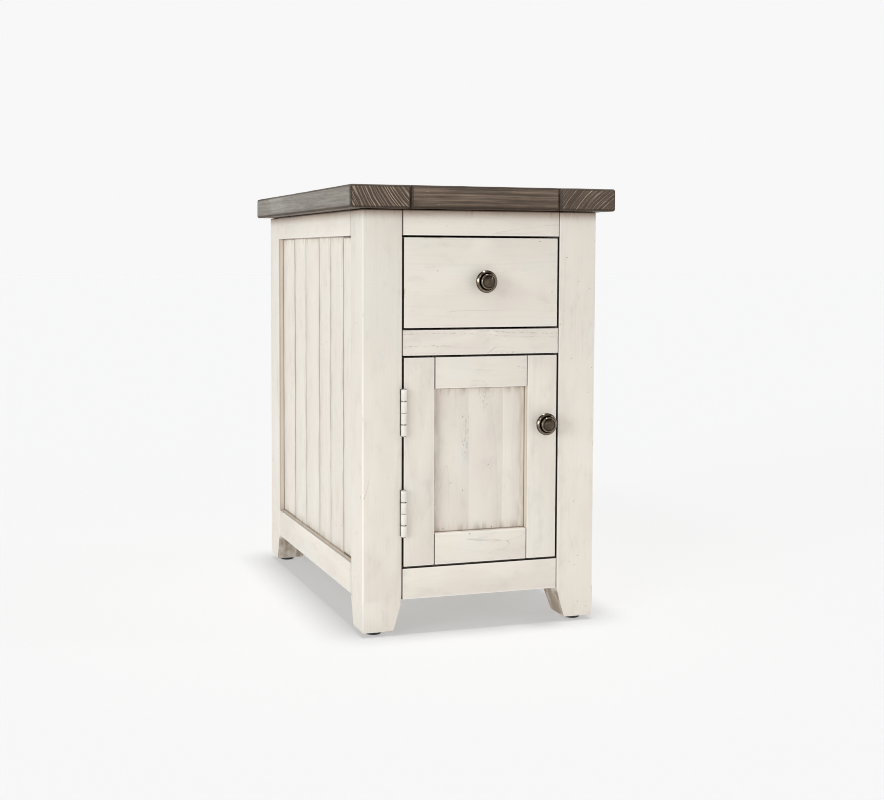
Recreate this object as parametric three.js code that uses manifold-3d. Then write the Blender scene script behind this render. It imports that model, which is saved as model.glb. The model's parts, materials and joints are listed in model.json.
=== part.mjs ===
// A chairside cabinet table: a plank top on four tapered posts, one drawer on ball-bearing slides
// over one framed door on butt hinges, and plank panels down the sides.
//
// Millimetres. +X is to the right seen from the front, +Y is to the back and +Z is up. The origin
// is on the floor, in the middle of the table's whole footprint, knobs included.

import * as THREE from "three";
import { mergeVertices } from "three/addons/utils/BufferGeometryUtils.js";
import Module from "manifold-3d";

const wasm = await Module();
wasm.setup();

// ---------------------------------------------------------------------------------------------
// Driving dimensions
// ---------------------------------------------------------------------------------------------

// Overall
const HEIGHT = 635;
const TOP_WIDTH = 400;
const TOP_DEPTH = 608;
const SIDE_OVERHANG = 23;
const FRONT_OVERHANG = 18;
const BACK_OVERHANG = 6;

// Fits
const GAP = 0.3; // between two pieces that are glued, screwed or housed together
const EASE = 1; // small chamfer on the edges of a board
const REVEAL = 2.2; // shadow gap round the drawer front and the door

// Plank top: a long board down each side, a cross board at each end, planks between them
const TOP_THICKNESS = 33;
const TOP_SIDE_BOARD = 88;
const TOP_END_BOARD = 84;
const TOP_CENTER_PLANKS = 3;
const TOP_EASE = 2;
const V_GROOVE = 1.5; // depth and half width of the groove between two planks

// Posts
const LEG_WIDTH = 58;
const LEG_DEPTH = 61;
const FOOT_WIDTH = 45; // at the floor, after the taper
const FOOT_DEPTH = 46;
const GLIDE_HEIGHT = 6;
const GLIDE_RADIUS = 11.5;
const GLIDE_NAIL_RADIUS = 1.5;
const GLIDE_NAIL_LENGTH = 14;

// Rails, from the floor up
const FLOOR_CLEARANCE = 51; // the tapers start here, at the underside of the lower rails
const BOTTOM_RAIL_HEIGHT = 44.5;
const MIDDLE_RAIL_HEIGHT = 36.5;
const DRAWER_OPENING_HEIGHT = 132;
const TOP_RAIL_HEIGHT = 36.5;
const FRONT_RAIL_DEPTH = 28;
const MIDDLE_RAIL_DEPTH = 45; // deeper, because it also carries the catch
const SIDE_RAIL_THICKNESS = 28;
const BACK_RAIL_THICKNESS = 28;

// Panels housed in grooves
const TONGUE = 6; // how far a panel reaches into its groove
const SIDE_PANEL_THICKNESS = 12;
const SIDE_PANEL_RECESS = 9;
const SIDE_PLANK_WIDTHS = [72, 74, 68, 88, 75, 85]; // random-width planks, front to back
const BACK_PANEL_THICKNESS = 6;
const BACK_PANEL_RECESS = 9;

// Inside the cabinet
const CABINET_FLOOR_THICKNESS = 12;
const CORNER_BLOCK_HEIGHT = 22;
const CORNER_BLOCK_LEG = 28;
const SLIDE_BOARD_THICKNESS = 18;

// Drawer
const FRONT_THICKNESS = 20; // drawer front, and the door's frame
const DRAWER_SIDE_THICKNESS = 12;
const DRAWER_SIDE_HEIGHT = 105;
const DRAWER_BOTTOM_THICKNESS = 5;
const DRAWER_BOTTOM_RISE = 10; // underside of the bottom above the sides' lower edges
const DRAWER_BOTTOM_SETBACK = 2; // from the ends of the sides

// Ball-bearing slides: three nested channels
const SLIDE_THICKNESS = 12.7;
const SLIDE_METAL = 1.2;
const SLIDE_RACE = 4; // height left for the balls between two channels
const CHANNEL_CLEARANCE = 1.6; // between two webs, and from a flange to the next wall
const SLIDE_FIT = 0.15; // to the wood on each side
const SLIDE_SETBACK = 2; // behind the drawer front
const SLIDE_LENGTH_STEP = 50; // slides are sold in lengths of this step
const SLIDE_BACK_ROOM = 60; // least room kept behind a slide
const OUTER_CHANNEL_HEIGHT = 45;

// Door
const DOOR_STILE = 46;
const DOOR_RAIL = 45;
const DOOR_PANEL_THICKNESS = 6;
const DOOR_PANEL_RECESS = 10.5;

// Butt hinges, with the barrel proud of the door's face
const HINGE_HEIGHT = 65.4;
const HINGE_INSET = 44.5; // from the door's top or bottom edge to the hinge
const HINGE_BARREL_RADIUS = 4.25;
const HINGE_BARREL_STANDOFF = 0.35; // between the barrel and the face of the cabinet
const HINGE_PIN_RADIUS = 2;
const HINGE_PIN_CLEARANCE = 0.1;
const HINGE_HEAD_RADIUS = 3.3;
const HINGE_HEAD_HEIGHT = 1;
const HINGE_KNUCKLES = 4;
const HINGE_KNUCKLE_GAP = 0.5;
const HINGE_PLATE_THICKNESS = 1.2;
const HINGE_PLATE_GAP = 0.7;
const HINGE_PLATE_WIDTH = 18;
const MORTISE_CLEARANCE = 0.2;

// Knobs and the screws through the wood behind them
const KNOB_REACH = 30;
const KNOB_DOME_RADIUS = 10.5;
const KNOB_RING_WIDTH = 3; // flat front of the ring outside the lip
const KNOB_BASE_RADIUS = 9;
const KNOB_NECK_RADIUS = 5;
const KNOB_LIP = 2.5; // groove between the dome and the ring
const KNOB_BORE_DEPTH = 12;
const KNOB_THREAD_CLEARANCE = 0.1;
const KNOB_SCREW_RADIUS = 2;
const KNOB_SCREW_CLEARANCE = 0.3;
const KNOB_SCREW_HEAD_RADIUS = 4;
const KNOB_SCREW_HEAD_HEIGHT = 2.4;
const DOOR_KNOB_DROP = 99; // below the door's top edge
const DRAWER_KNOB_RISE = 1.8; // above the middle of the drawer front

// Magnetic catch
const CATCH_WIDTH = 40;
const CATCH_HEIGHT = 13;
const CATCH_DEPTH = 17;
const CATCH_INSET = 13; // from the catch to the door's right stile
const STRIKE_WIDTH = 28;
const STRIKE_HEIGHT = 11;
const STRIKE_THICKNESS = 1;

// ---------------------------------------------------------------------------------------------
// Sizes worked out from them
// ---------------------------------------------------------------------------------------------

const BODY_WIDTH = TOP_WIDTH - 2 * SIDE_OVERHANG;
const BODY_DEPTH = TOP_DEPTH - FRONT_OVERHANG - BACK_OVERHANG;
const OUTER_X = BODY_WIDTH / 2;
const INNER_X = OUTER_X - LEG_WIDTH; // inner faces of the posts, and the edge of both openings

const FRONT_REACH = Math.max(KNOB_REACH, FRONT_OVERHANG);
const FACE_Y = (FRONT_REACH - (BODY_DEPTH + BACK_OVERHANG)) / 2; // front face of the cabinet
const BACK_Y = FACE_Y + BODY_DEPTH;
const FRONT_LEG_Y = FACE_Y + LEG_DEPTH; // back of the front posts
const BACK_LEG_Y = BACK_Y - LEG_DEPTH; // front of the back posts

const UNDERSIDE_Z = HEIGHT - TOP_THICKNESS;
const DRAWER_HIGH_Z = UNDERSIDE_Z - TOP_RAIL_HEIGHT;
const DRAWER_LOW_Z = DRAWER_HIGH_Z - DRAWER_OPENING_HEIGHT;
const DOOR_HIGH_Z = DRAWER_LOW_Z - MIDDLE_RAIL_HEIGHT;
const DOOR_LOW_Z = FLOOR_CLEARANCE + BOTTOM_RAIL_HEIGHT;
const DRAWER_MIDDLE_Z = (DRAWER_LOW_Z + DRAWER_HIGH_Z) / 2;

const BACK_PANEL_FRONT_Y = BACK_Y - BACK_PANEL_RECESS - BACK_PANEL_THICKNESS;
const SLIDE_FRONT_Y = FACE_Y + FRONT_THICKNESS + SLIDE_SETBACK;
const SLIDE_ROOM = BACK_PANEL_FRONT_Y - SLIDE_FRONT_Y - SLIDE_BACK_ROOM;
const SLIDE_LENGTH = SLIDE_LENGTH_STEP * Math.floor(SLIDE_ROOM / SLIDE_LENGTH_STEP);
const MIDDLE_CHANNEL_HEIGHT = OUTER_CHANNEL_HEIGHT - 2 * (SLIDE_METAL + SLIDE_RACE);
const INNER_CHANNEL_HEIGHT = MIDDLE_CHANNEL_HEIGHT - 2 * (SLIDE_METAL + SLIDE_RACE);

const DOOR_HEIGHT = DOOR_HIGH_Z - DOOR_LOW_Z - 2 * REVEAL;
const DOOR_WIDTH = 2 * (INNER_X - REVEAL);
const HINGE_X = -INNER_X + REVEAL / 2; // the pins stand over the middle of the shadow gap
const HINGE_BARREL_PROUD = HINGE_BARREL_RADIUS + HINGE_BARREL_STANDOFF;
const HINGE_Y = FACE_Y - HINGE_BARREL_PROUD;
const KNOB_RADIUS = KNOB_DOME_RADIUS + KNOB_LIP + KNOB_RING_WIDTH;
const CATCH_X = INNER_X - DOOR_STILE - CATCH_INSET - CATCH_WIDTH / 2;
const HINGE_CENTERS = [
  HINGE_INSET + HINGE_HEIGHT / 2,
  DOOR_HEIGHT - HINGE_INSET - HINGE_HEIGHT / 2,
]; // above the door's bottom edge

// ---------------------------------------------------------------------------------------------
// Finishes
// ---------------------------------------------------------------------------------------------

const FINISHES = {
  paint: { color: 0xe4dccf, roughness: 0.6, metalness: 0 },
  topWood: { color: 0x7b6b58, roughness: 0.7, metalness: 0 },
  bareWood: { color: 0xb08a5c, roughness: 0.75, metalness: 0 },
  bronze: { color: 0x2b221b, roughness: 0.35, metalness: 0.9 },
  hingePaint: { color: 0xddd5c6, roughness: 0.5, metalness: 0 },
  zinc: { color: 0xb9bcbe, roughness: 0.35, metalness: 1 },
  blackPlastic: { color: 0x171614, roughness: 0.5, metalness: 0 },
  brownPlastic: { color: 0x4a3628, roughness: 0.5, metalness: 0 },
};

// ---------------------------------------------------------------------------------------------
// Shapes
// ---------------------------------------------------------------------------------------------

const SIDES = [
  { word: "left", sign: -1 },
  { word: "right", sign: 1 },
];

// The span from a to b on one side of the middle, low value first.
function sided(sign, a, b) {
  return sign < 0 ? [-b, -a] : [a, b];
}

function grown(span, by) {
  const wider = ([low, high]) => [low - by, high + by];
  return { x: wider(span.x), y: wider(span.y), z: wider(span.z) };
}

function sizeOf(span) {
  return new THREE.Vector3(
    span.x[1] - span.x[0],
    span.y[1] - span.y[0],
    span.z[1] - span.z[0],
  );
}

function middleOf(span) {
  return new THREE.Vector3(
    (span.x[0] + span.x[1]) / 2,
    (span.y[0] + span.y[1]) / 2,
    (span.z[0] + span.z[1]) / 2,
  );
}

// A plain box over a span, used as a cutter.
function boxOver(span) {
  const middle = middleOf(span);
  return new THREE.BoxGeometry(...sizeOf(span)).translate(...middle);
}

// A box round its own middle with every edge chamfered.
function easedBox(size, ease) {
  const halfX = size.x / 2 - ease;
  const halfY = size.y / 2 - ease;
  const corner = ease * (Math.SQRT2 - 1); // the bevel widens this to a full chamfer
  const outline = new THREE.Shape();
  outline.moveTo(halfX - corner, -halfY);
  outline.lineTo(halfX, -halfY + corner);
  outline.lineTo(halfX, halfY - corner);
  outline.lineTo(halfX - corner, halfY);
  outline.lineTo(-halfX + corner, halfY);
  outline.lineTo(-halfX, halfY - corner);
  outline.lineTo(-halfX, -halfY + corner);
  outline.lineTo(-halfX + corner, -halfY);
  return new THREE.ExtrudeGeometry(outline, {
    depth: size.z - 2 * ease,
    bevelThickness: ease,
    bevelSize: ease,
    bevelSegments: 1,
  }).translate(0, 0, ease - size.z / 2);
}

const X_AXIS = new THREE.Vector3(1, 0, 0);
const Y_AXIS = new THREE.Vector3(0, 1, 0);
const Z_AXIS = new THREE.Vector3(0, 0, 1);
const BAR_BASES = {
  x: [Y_AXIS, Z_AXIS, X_AXIS],
  y: [Z_AXIS, X_AXIS, Y_AXIS],
  z: [X_AXIS, Y_AXIS, Z_AXIS],
};

// A straight bar of one section along an axis. The section's points are pairs in the other two
// axes, in x, y, z order.
function bar(section, axis, [from, to]) {
  const points = section.map(([a, b]) =>
    axis === "y" ? new THREE.Vector2(b, a) : new THREE.Vector2(a, b),
  );
  return new THREE.ExtrudeGeometry(new THREE.Shape(points), {
    depth: to - from,
    bevelEnabled: false,
  })
    .translate(0, 0, from)
    .applyMatrix4(new THREE.Matrix4().makeBasis(...BAR_BASES[axis]));
}

// A turned piece round the Y axis: [radius, y] points in order of rising y on the outside.
function turned(profile, segments) {
  const points = profile.map(([radius, y]) => new THREE.Vector2(radius, y));
  return new THREE.LatheGeometry(points, segments);
}

// Lays a piece turned round Y upright, so that its axis is Z.
function upright(geometry) {
  return geometry.rotateX(Math.PI / 2);
}

function rod(radius, length, segments) {
  const profile = [[0, 0], [radius, 0], [radius, length], [0, length]];
  return turned(profile, segments);
}

function solidOf(geometry) {
  const bare = geometry.clone();
  bare.deleteAttribute("normal");
  bare.deleteAttribute("uv");
  const merged = mergeVertices(bare, 1e-4);
  return new wasm.Manifold(
    new wasm.Mesh({
      numProp: 3,
      vertProperties: merged.attributes.position.array,
      triVerts: new Uint32Array(merged.index.array),
    }),
  );
}

function geometryOf(solid) {
  const mesh = solid.getMesh();
  const geometry = new THREE.BufferGeometry();
  geometry.setAttribute("position", new THREE.BufferAttribute(mesh.vertProperties, 3));
  geometry.setIndex(new THREE.BufferAttribute(mesh.triVerts, 1));
  return geometry;
}

function cut(geometry, cutters) {
  const start = solidOf(geometry);
  return geometryOf(cutters.reduce((solid, cutter) => solid.subtract(solidOf(cutter)), start));
}

function join(geometries) {
  return geometryOf(geometries.map(solidOf).reduce((solid, next) => solid.add(next)));
}

// Flat-shaded mesh of one named piece.
function piece(name, geometry, finish, position = new THREE.Vector3()) {
  const flat = geometry.index ? geometry.toNonIndexed() : geometry;
  flat.computeVertexNormals();
  const mesh = new THREE.Mesh(flat, new THREE.MeshStandardMaterial(FINISHES[finish]));
  mesh.name = name;
  mesh.position.copy(position);
  return mesh;
}

// An eased board that fills a span. The cutters are placed in the span's own frame.
function board(name, span, finish, { ease = EASE, cutters = [] } = {}) {
  const middle = middleOf(span);
  const blank = easedBox(sizeOf(span), ease);
  const moved = cutters.map((c) => c.clone().translate(-middle.x, -middle.y, -middle.z));
  return piece(name, moved.length ? cut(blank, moved) : blank, finish, middle);
}

// The outline of boards laid side by side from one edge to the other, with a V groove at each
// joint of the far face: [along, across] pairs.
function plankedSection([from, to], [near, far], joints) {
  const grooves = joints.flatMap((joint) => [
    [joint - V_GROOVE, far],
    [joint, far - V_GROOVE],
    [joint + V_GROOVE, far],
  ]);
  return [[from, near], [from, far], ...grooves, [to, far], [to, near]];
}

// ---------------------------------------------------------------------------------------------
// Plank top
// ---------------------------------------------------------------------------------------------

function makeTop() {
  const top = new THREE.Group();
  const x = TOP_WIDTH / 2;
  const frontY = FACE_Y - FRONT_OVERHANG;
  const backY = frontY + TOP_DEPTH;
  const z = [UNDERSIDE_Z, HEIGHT];
  const inner = x - TOP_SIDE_BOARD - GAP;

  for (const side of SIDES) {
    const span = { x: sided(side.sign, x - TOP_SIDE_BOARD, x), y: [frontY, backY], z };
    top.add(board(`top_board_${side.word}`, span, "topWood", { ease: TOP_EASE }));
  }
  const crossBoards = {
    front: [frontY, frontY + TOP_END_BOARD],
    back: [backY - TOP_END_BOARD, backY],
  };
  for (const [word, y] of Object.entries(crossBoards)) {
    const span = { x: [-inner, inner], y, z };
    top.add(board(`top_board_${word}`, span, "topWood", { ease: TOP_EASE }));
  }

  const plankWidth = (2 * inner) / TOP_CENTER_PLANKS;
  const joints = Array.from(
    { length: TOP_CENTER_PLANKS - 1 },
    (_, index) => -inner + (index + 1) * plankWidth,
  );
  const length = TOP_DEPTH - 2 * (TOP_END_BOARD + GAP);
  const section = plankedSection([-inner, inner], [-TOP_THICKNESS / 2, TOP_THICKNESS / 2], joints);
  const planks = bar(section, "y", [-length / 2, length / 2]);
  const middle = new THREE.Vector3(0, (frontY + backY) / 2, (UNDERSIDE_Z + HEIGHT) / 2);
  top.add(piece("top_center_planks", planks, "topWood", middle));
  return top;
}

// ---------------------------------------------------------------------------------------------
// Panels and the grooves that hold them
// ---------------------------------------------------------------------------------------------

function sidePanelSpan(sign) {
  const reach = TONGUE - GAP;
  const face = OUTER_X - SIDE_PANEL_RECESS;
  return {
    x: sided(sign, face - SIDE_PANEL_THICKNESS, face),
    y: [FRONT_LEG_Y - reach, BACK_LEG_Y + reach],
    z: [DOOR_LOW_Z - reach, DRAWER_HIGH_Z + reach],
  };
}

const BACK_PANEL_SPAN = {
  x: [-INNER_X - TONGUE + GAP, INNER_X + TONGUE - GAP],
  y: [BACK_PANEL_FRONT_Y, BACK_Y - BACK_PANEL_RECESS],
  z: [DOOR_LOW_Z - TONGUE + GAP, DRAWER_HIGH_Z + TONGUE - GAP],
};

function grooveFor(span) {
  return boxOver(grown(span, GAP));
}

function makePanels() {
  const panels = new THREE.Group();
  const visible = BACK_LEG_Y - FRONT_LEG_Y;
  const total = SIDE_PLANK_WIDTHS.reduce((sum, width) => sum + width);
  const joints = [];
  SIDE_PLANK_WIDTHS.slice(0, -1).reduce((y, width) => {
    joints.push(y + (width * visible) / total);
    return joints.at(-1);
  }, FRONT_LEG_Y);

  for (const side of SIDES) {
    const span = sidePanelSpan(side.sign);
    const middle = middleOf(span);
    const half = SIDE_PANEL_THICKNESS / 2;
    const edges = span.y.map((y) => y - middle.y);
    const section = plankedSection(edges, [-half, half], joints.map((y) => y - middle.y));
    const outward = section.map(([along, across]) => [side.sign * across, along]);
    const height = sizeOf(span).z;
    const planks = bar(outward, "z", [-height / 2, height / 2]);
    panels.add(piece(`side_planks_${side.word}`, planks, "paint", middle));
  }
  panels.add(board("back_panel", BACK_PANEL_SPAN, "paint", { ease: 0.5 }));
  return panels;
}

// ---------------------------------------------------------------------------------------------
// Posts, glides and rails
// ---------------------------------------------------------------------------------------------

// Cuts one inner face of a foot: from the post's full size under the rails down to the foot's.
function taperSection(sign, inner, slimmer) {
  const past = 1;
  return [
    [sign * inner, FLOOR_CLEARANCE],
    [sign * (inner + slimmer), GLIDE_HEIGHT],
    [sign * (inner + slimmer), GLIDE_HEIGHT - past],
    [sign * (inner - past), GLIDE_HEIGHT - past],
    [sign * (inner - past), FLOOR_CLEARANCE],
  ];
}

// The recess for both hinge plates on one face. It reaches from plateX to faceX in x.
function mortises(plateX, faceX, baseZ, frontY) {
  const past = 1;
  const deep = frontY + HINGE_PLATE_WIDTH + MORTISE_CLEARANCE * 2;
  const direction = Math.sign(plateX - faceX);
  const x = [plateX + direction * MORTISE_CLEARANCE, faceX - direction * past];
  x.sort((a, b) => a - b);
  return HINGE_CENTERS.map((center) => {
    const half = HINGE_HEIGHT / 2 + MORTISE_CLEARANCE;
    const z = [baseZ + center - half, baseZ + center + half];
    return boxOver({ x, y: [frontY - past, deep], z });
  });
}

const FRAME_PLATE_X = HINGE_X - HINGE_PLATE_GAP / 2 - HINGE_PLATE_THICKNESS;
const FOOT_MIDDLE_X = OUTER_X - FOOT_WIDTH / 2;

function makeLegs() {
  const legs = new THREE.Group();
  const ends = [
    { word: "front", y: [FACE_Y, FRONT_LEG_Y], innerY: FRONT_LEG_Y, toOuter: -1 },
    { word: "back", y: [BACK_LEG_Y, BACK_Y], innerY: BACK_LEG_Y, toOuter: 1 },
  ];
  for (const end of ends) {
    for (const side of SIDES) {
      const span = {
        x: sided(side.sign, INNER_X, OUTER_X),
        y: end.y,
        z: [GLIDE_HEIGHT, UNDERSIDE_Z - GAP],
      };
      const outerY = end.toOuter < 0 ? FACE_Y : BACK_Y;
      const foot = new THREE.Vector3(
        side.sign * FOOT_MIDDLE_X,
        outerY - (end.toOuter * FOOT_DEPTH) / 2,
        GLIDE_HEIGHT,
      );
      const slimmerX = taperSection(side.sign, INNER_X, LEG_WIDTH - FOOT_WIDTH);
      const slimmerY = taperSection(end.toOuter, 0, LEG_DEPTH - FOOT_DEPTH).map(
        ([y, z]) => [y + end.innerY, z],
      );
      const cutters = [
        bar(slimmerX, "y", [end.y[0] - 1, end.y[1] + 1]),
        bar(slimmerY, "x", [span.x[0] - 1, span.x[1] + 1]),
        grooveFor(sidePanelSpan(side.sign)),
        upright(rod(GLIDE_NAIL_RADIUS + GAP, GLIDE_NAIL_LENGTH + GAP, 16)).translate(...foot),
      ];
      if (end.word === "back") cutters.push(grooveFor(BACK_PANEL_SPAN));
      if (end.word === "front" && side.word === "left") {
        cutters.push(...mortises(FRAME_PLATE_X, -INNER_X, DOOR_LOW_Z + REVEAL, FACE_Y));
      }
      const name = `leg_${end.word}_${side.word}`;
      legs.add(board(name, span, "paint", { ease: EASE * 1.5, cutters }));
      legs.add(makeGlide(`foot_glide_${end.word}_${side.word}`, foot));
    }
  }
  return legs;
}

// A nail-on plastic glide: a dished disc with its nail pointing up into the post.
function makeGlide(name, foot) {
  const top = -GAP;
  const profile = [
    [0, -GLIDE_HEIGHT],
    [GLIDE_RADIUS - 2, -GLIDE_HEIGHT],
    [GLIDE_RADIUS, 2 - GLIDE_HEIGHT],
    [GLIDE_RADIUS, top],
    [GLIDE_NAIL_RADIUS, top],
    [GLIDE_NAIL_RADIUS, GLIDE_NAIL_LENGTH - 2],
    [0, GLIDE_NAIL_LENGTH],
  ];
  return piece(name, upright(turned(profile, 20)), "blackPlastic", foot);
}

function makeRails() {
  const rails = new THREE.Group();
  const across = [-INNER_X + GAP, INNER_X - GAP];
  const lowZ = [FLOOR_CLEARANCE, DOOR_LOW_Z];
  const highZ = [DRAWER_HIGH_Z, UNDERSIDE_Z - GAP];
  const frontY = [FACE_Y, FACE_Y + FRONT_RAIL_DEPTH];
  const middleY = [FACE_Y, FACE_Y + MIDDLE_RAIL_DEPTH];
  rails.add(board("front_rail_top", { x: across, y: frontY, z: highZ }, "paint"));
  rails.add(
    board("front_rail_middle", { x: across, y: middleY, z: [DOOR_HIGH_Z, DRAWER_LOW_Z] }, "paint"),
  );
  rails.add(board("front_rail_bottom", { x: across, y: frontY, z: lowZ }, "paint"));

  const levels = { top: highZ, bottom: lowZ };
  for (const [level, z] of Object.entries(levels)) {
    const backSpan = { x: across, y: [BACK_Y - BACK_RAIL_THICKNESS, BACK_Y], z };
    const cutters = [grooveFor(BACK_PANEL_SPAN)];
    rails.add(board(`back_rail_${level}`, backSpan, "paint", { cutters }));
    for (const side of SIDES) {
      const span = {
        x: sided(side.sign, OUTER_X - SIDE_RAIL_THICKNESS, OUTER_X),
        y: [FRONT_LEG_Y + GAP, BACK_LEG_Y - GAP],
        z,
      };
      const groove = { cutters: [grooveFor(sidePanelSpan(side.sign))] };
      rails.add(board(`side_rail_${level}_${side.word}`, span, "paint", groove));
    }
  }
  return rails;
}

// ---------------------------------------------------------------------------------------------
// Inside the cabinet: floor, corner blocks and the boards that the slides are screwed to
// ---------------------------------------------------------------------------------------------

const FLOOR_TOP_Z = DOOR_LOW_Z;
const FLOOR_LOW_Z = FLOOR_TOP_Z - CABINET_FLOOR_THICKNESS;

// A floor notched round the four posts.
function makeCabinetFloor() {
  const narrow = INNER_X - GAP;
  const wide = OUTER_X - SIDE_RAIL_THICKNESS - GAP;
  const frontY = FACE_Y + FRONT_RAIL_DEPTH + GAP;
  const backY = BACK_Y - BACK_RAIL_THICKNESS - GAP;
  const notchFrontY = FRONT_LEG_Y + GAP;
  const notchBackY = BACK_LEG_Y - GAP;
  const rightHalf = [
    [narrow, frontY],
    [narrow, notchFrontY],
    [wide, notchFrontY],
    [wide, notchBackY],
    [narrow, notchBackY],
    [narrow, backY],
  ];
  const leftHalf = rightHalf.map(([x, y]) => [-x, y]).reverse();
  const outline = [...rightHalf, ...leftHalf];
  const floor = bar(outline, "z", [0, CABINET_FLOOR_THICKNESS]);
  return piece("cabinet_floor", floor, "paint", new THREE.Vector3(0, 0, FLOOR_LOW_Z));
}

// A triangular block under the floor, glued into the corner of a side rail and a post.
function makeCornerBlocks() {
  const blocks = new THREE.Group();
  const ends = [
    { word: "front", y: FRONT_LEG_Y + GAP, inward: 1 },
    { word: "back", y: BACK_LEG_Y - GAP, inward: -1 },
  ];
  for (const end of ends) {
    for (const side of SIDES) {
      const outline = [
        [0, 0],
        [-side.sign * CORNER_BLOCK_LEG, 0],
        [0, end.inward * CORNER_BLOCK_LEG],
      ];
      const block = bar(outline, "z", [0, CORNER_BLOCK_HEIGHT]);
      const corner = new THREE.Vector3(
        side.sign * (OUTER_X - SIDE_RAIL_THICKNESS - GAP),
        end.y,
        FLOOR_LOW_Z - GAP - CORNER_BLOCK_HEIGHT,
      );
      blocks.add(piece(`corner_block_${end.word}_${side.word}`, block, "bareWood", corner));
    }
  }
  return blocks;
}

function makeSlideBoards() {
  const boards = new THREE.Group();
  for (const side of SIDES) {
    const span = {
      x: sided(side.sign, INNER_X, INNER_X + SLIDE_BOARD_THICKNESS),
      y: [FRONT_LEG_Y + GAP, BACK_LEG_Y - GAP],
      z: [DRAWER_LOW_Z, UNDERSIDE_Z - GAP],
    };
    boards.add(board(`slide_board_${side.word}`, span, "bareWood"));
  }
  return boards;
}

// ---------------------------------------------------------------------------------------------
// Ball-bearing slides
// ---------------------------------------------------------------------------------------------

const MIDDLE_WEB = SLIDE_METAL + CHANNEL_CLEARANCE;
const INNER_LIP = MIDDLE_WEB + SLIDE_METAL + CHANNEL_CLEARANCE;

// One channel of a slide. web and lip are distances from the cabinet side of the slide: the web
// stands at the first, and both flanges end at the second.
function channel(name, sign, web, lip, height, position) {
  const inward = Math.sign(lip - web);
  const half = height / 2;
  const webInside = web + inward * SLIDE_METAL;
  const upper = [
    [webInside, half - SLIDE_METAL],
    [lip, half - SLIDE_METAL],
    [lip, half],
    [web, half],
  ];
  const lower = upper.map(([across, z]) => [across, -z]).reverse();
  const section = [...upper, ...lower].map(([across, z]) => [-sign * across, z]);
  return piece(name, bar(section, "y", [0, SLIDE_LENGTH]), "zinc", position);
}

function slideOrigin(sign) {
  return new THREE.Vector3(sign * (INNER_X - SLIDE_FIT), SLIDE_FRONT_Y, DRAWER_MIDDLE_Z);
}

function makeCabinetSlides() {
  const slides = new THREE.Group();
  for (const side of SIDES) {
    const origin = slideOrigin(side.sign);
    const outerLip = SLIDE_THICKNESS - 2 * CHANNEL_CLEARANCE;
    const outer = [0, outerLip, OUTER_CHANNEL_HEIGHT];
    const middleLip = SLIDE_THICKNESS - CHANNEL_CLEARANCE;
    const middle = [MIDDLE_WEB, middleLip, MIDDLE_CHANNEL_HEIGHT];
    slides.add(channel(`slide_outer_${side.word}`, side.sign, ...outer, origin));
    slides.add(channel(`slide_middle_${side.word}`, side.sign, ...middle, origin));
  }
  return slides;
}

// ---------------------------------------------------------------------------------------------
// Knob and its screw
// ---------------------------------------------------------------------------------------------

// A turned knob with its base at y = 0, reaching to -KNOB_REACH: rosette, neck, flared ring and a
// dome inside the ring.
function makeKnob(name, position) {
  const bore = KNOB_SCREW_RADIUS + KNOB_THREAD_CLEARANCE;
  const ringFront = KNOB_REACH - KNOB_DOME_RADIUS + 1;
  const domeHeight = KNOB_REACH - ringFront - 1;
  const dome = [0, 20, 40, 60, 80].map((degrees) => {
    const angle = THREE.MathUtils.degToRad(degrees);
    const radius = KNOB_DOME_RADIUS * Math.sin(angle);
    return [radius, -ringFront - 1 - domeHeight * Math.cos(angle)];
  });
  const profile = [
    ...dome,
    [KNOB_DOME_RADIUS + 0.5, -ringFront + 1],
    [KNOB_DOME_RADIUS + KNOB_LIP, -ringFront],
    [KNOB_RADIUS - 1, -ringFront],
    [KNOB_RADIUS, -ringFront + 1.4],
    [KNOB_RADIUS - 1, -ringFront + 3.2],
    [KNOB_BASE_RADIUS, -ringFront + 6],
    [KNOB_NECK_RADIUS, -ringFront + 10],
    [KNOB_NECK_RADIUS, -4],
    [KNOB_BASE_RADIUS - 1.5, -2.4],
    [KNOB_BASE_RADIUS, -1.4],
    [KNOB_BASE_RADIUS, -GAP],
    [bore, -GAP],
    [bore, -KNOB_BORE_DEPTH],
    [0, -KNOB_BORE_DEPTH],
  ];
  return piece(name, turned(profile, 28), "bronze", position);
}

function screwHole(position) {
  const radius = KNOB_SCREW_RADIUS + KNOB_SCREW_CLEARANCE;
  return rod(radius, FRONT_THICKNESS + 2, 16).translate(position.x, position.y - 1, position.z);
}

// A pan-head machine screw from behind the wood into the knob. Its origin is the knob's base.
function makeKnobScrew(name, position) {
  const headLow = FRONT_THICKNESS + GAP;
  const headHigh = headLow + KNOB_SCREW_HEAD_HEIGHT;
  const profile = [
    [0, 2 - KNOB_BORE_DEPTH],
    [KNOB_SCREW_RADIUS, 2.5 - KNOB_BORE_DEPTH],
    [KNOB_SCREW_RADIUS, headLow],
    [KNOB_SCREW_HEAD_RADIUS, headLow],
    [KNOB_SCREW_HEAD_RADIUS, headHigh - 1],
    [KNOB_SCREW_HEAD_RADIUS - 1, headHigh],
    [0, headHigh],
  ];
  return piece(name, turned(profile, 16), "zinc", position);
}

// ---------------------------------------------------------------------------------------------
// Drawer. Its frame is the middle of its front's face.
// ---------------------------------------------------------------------------------------------

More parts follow.
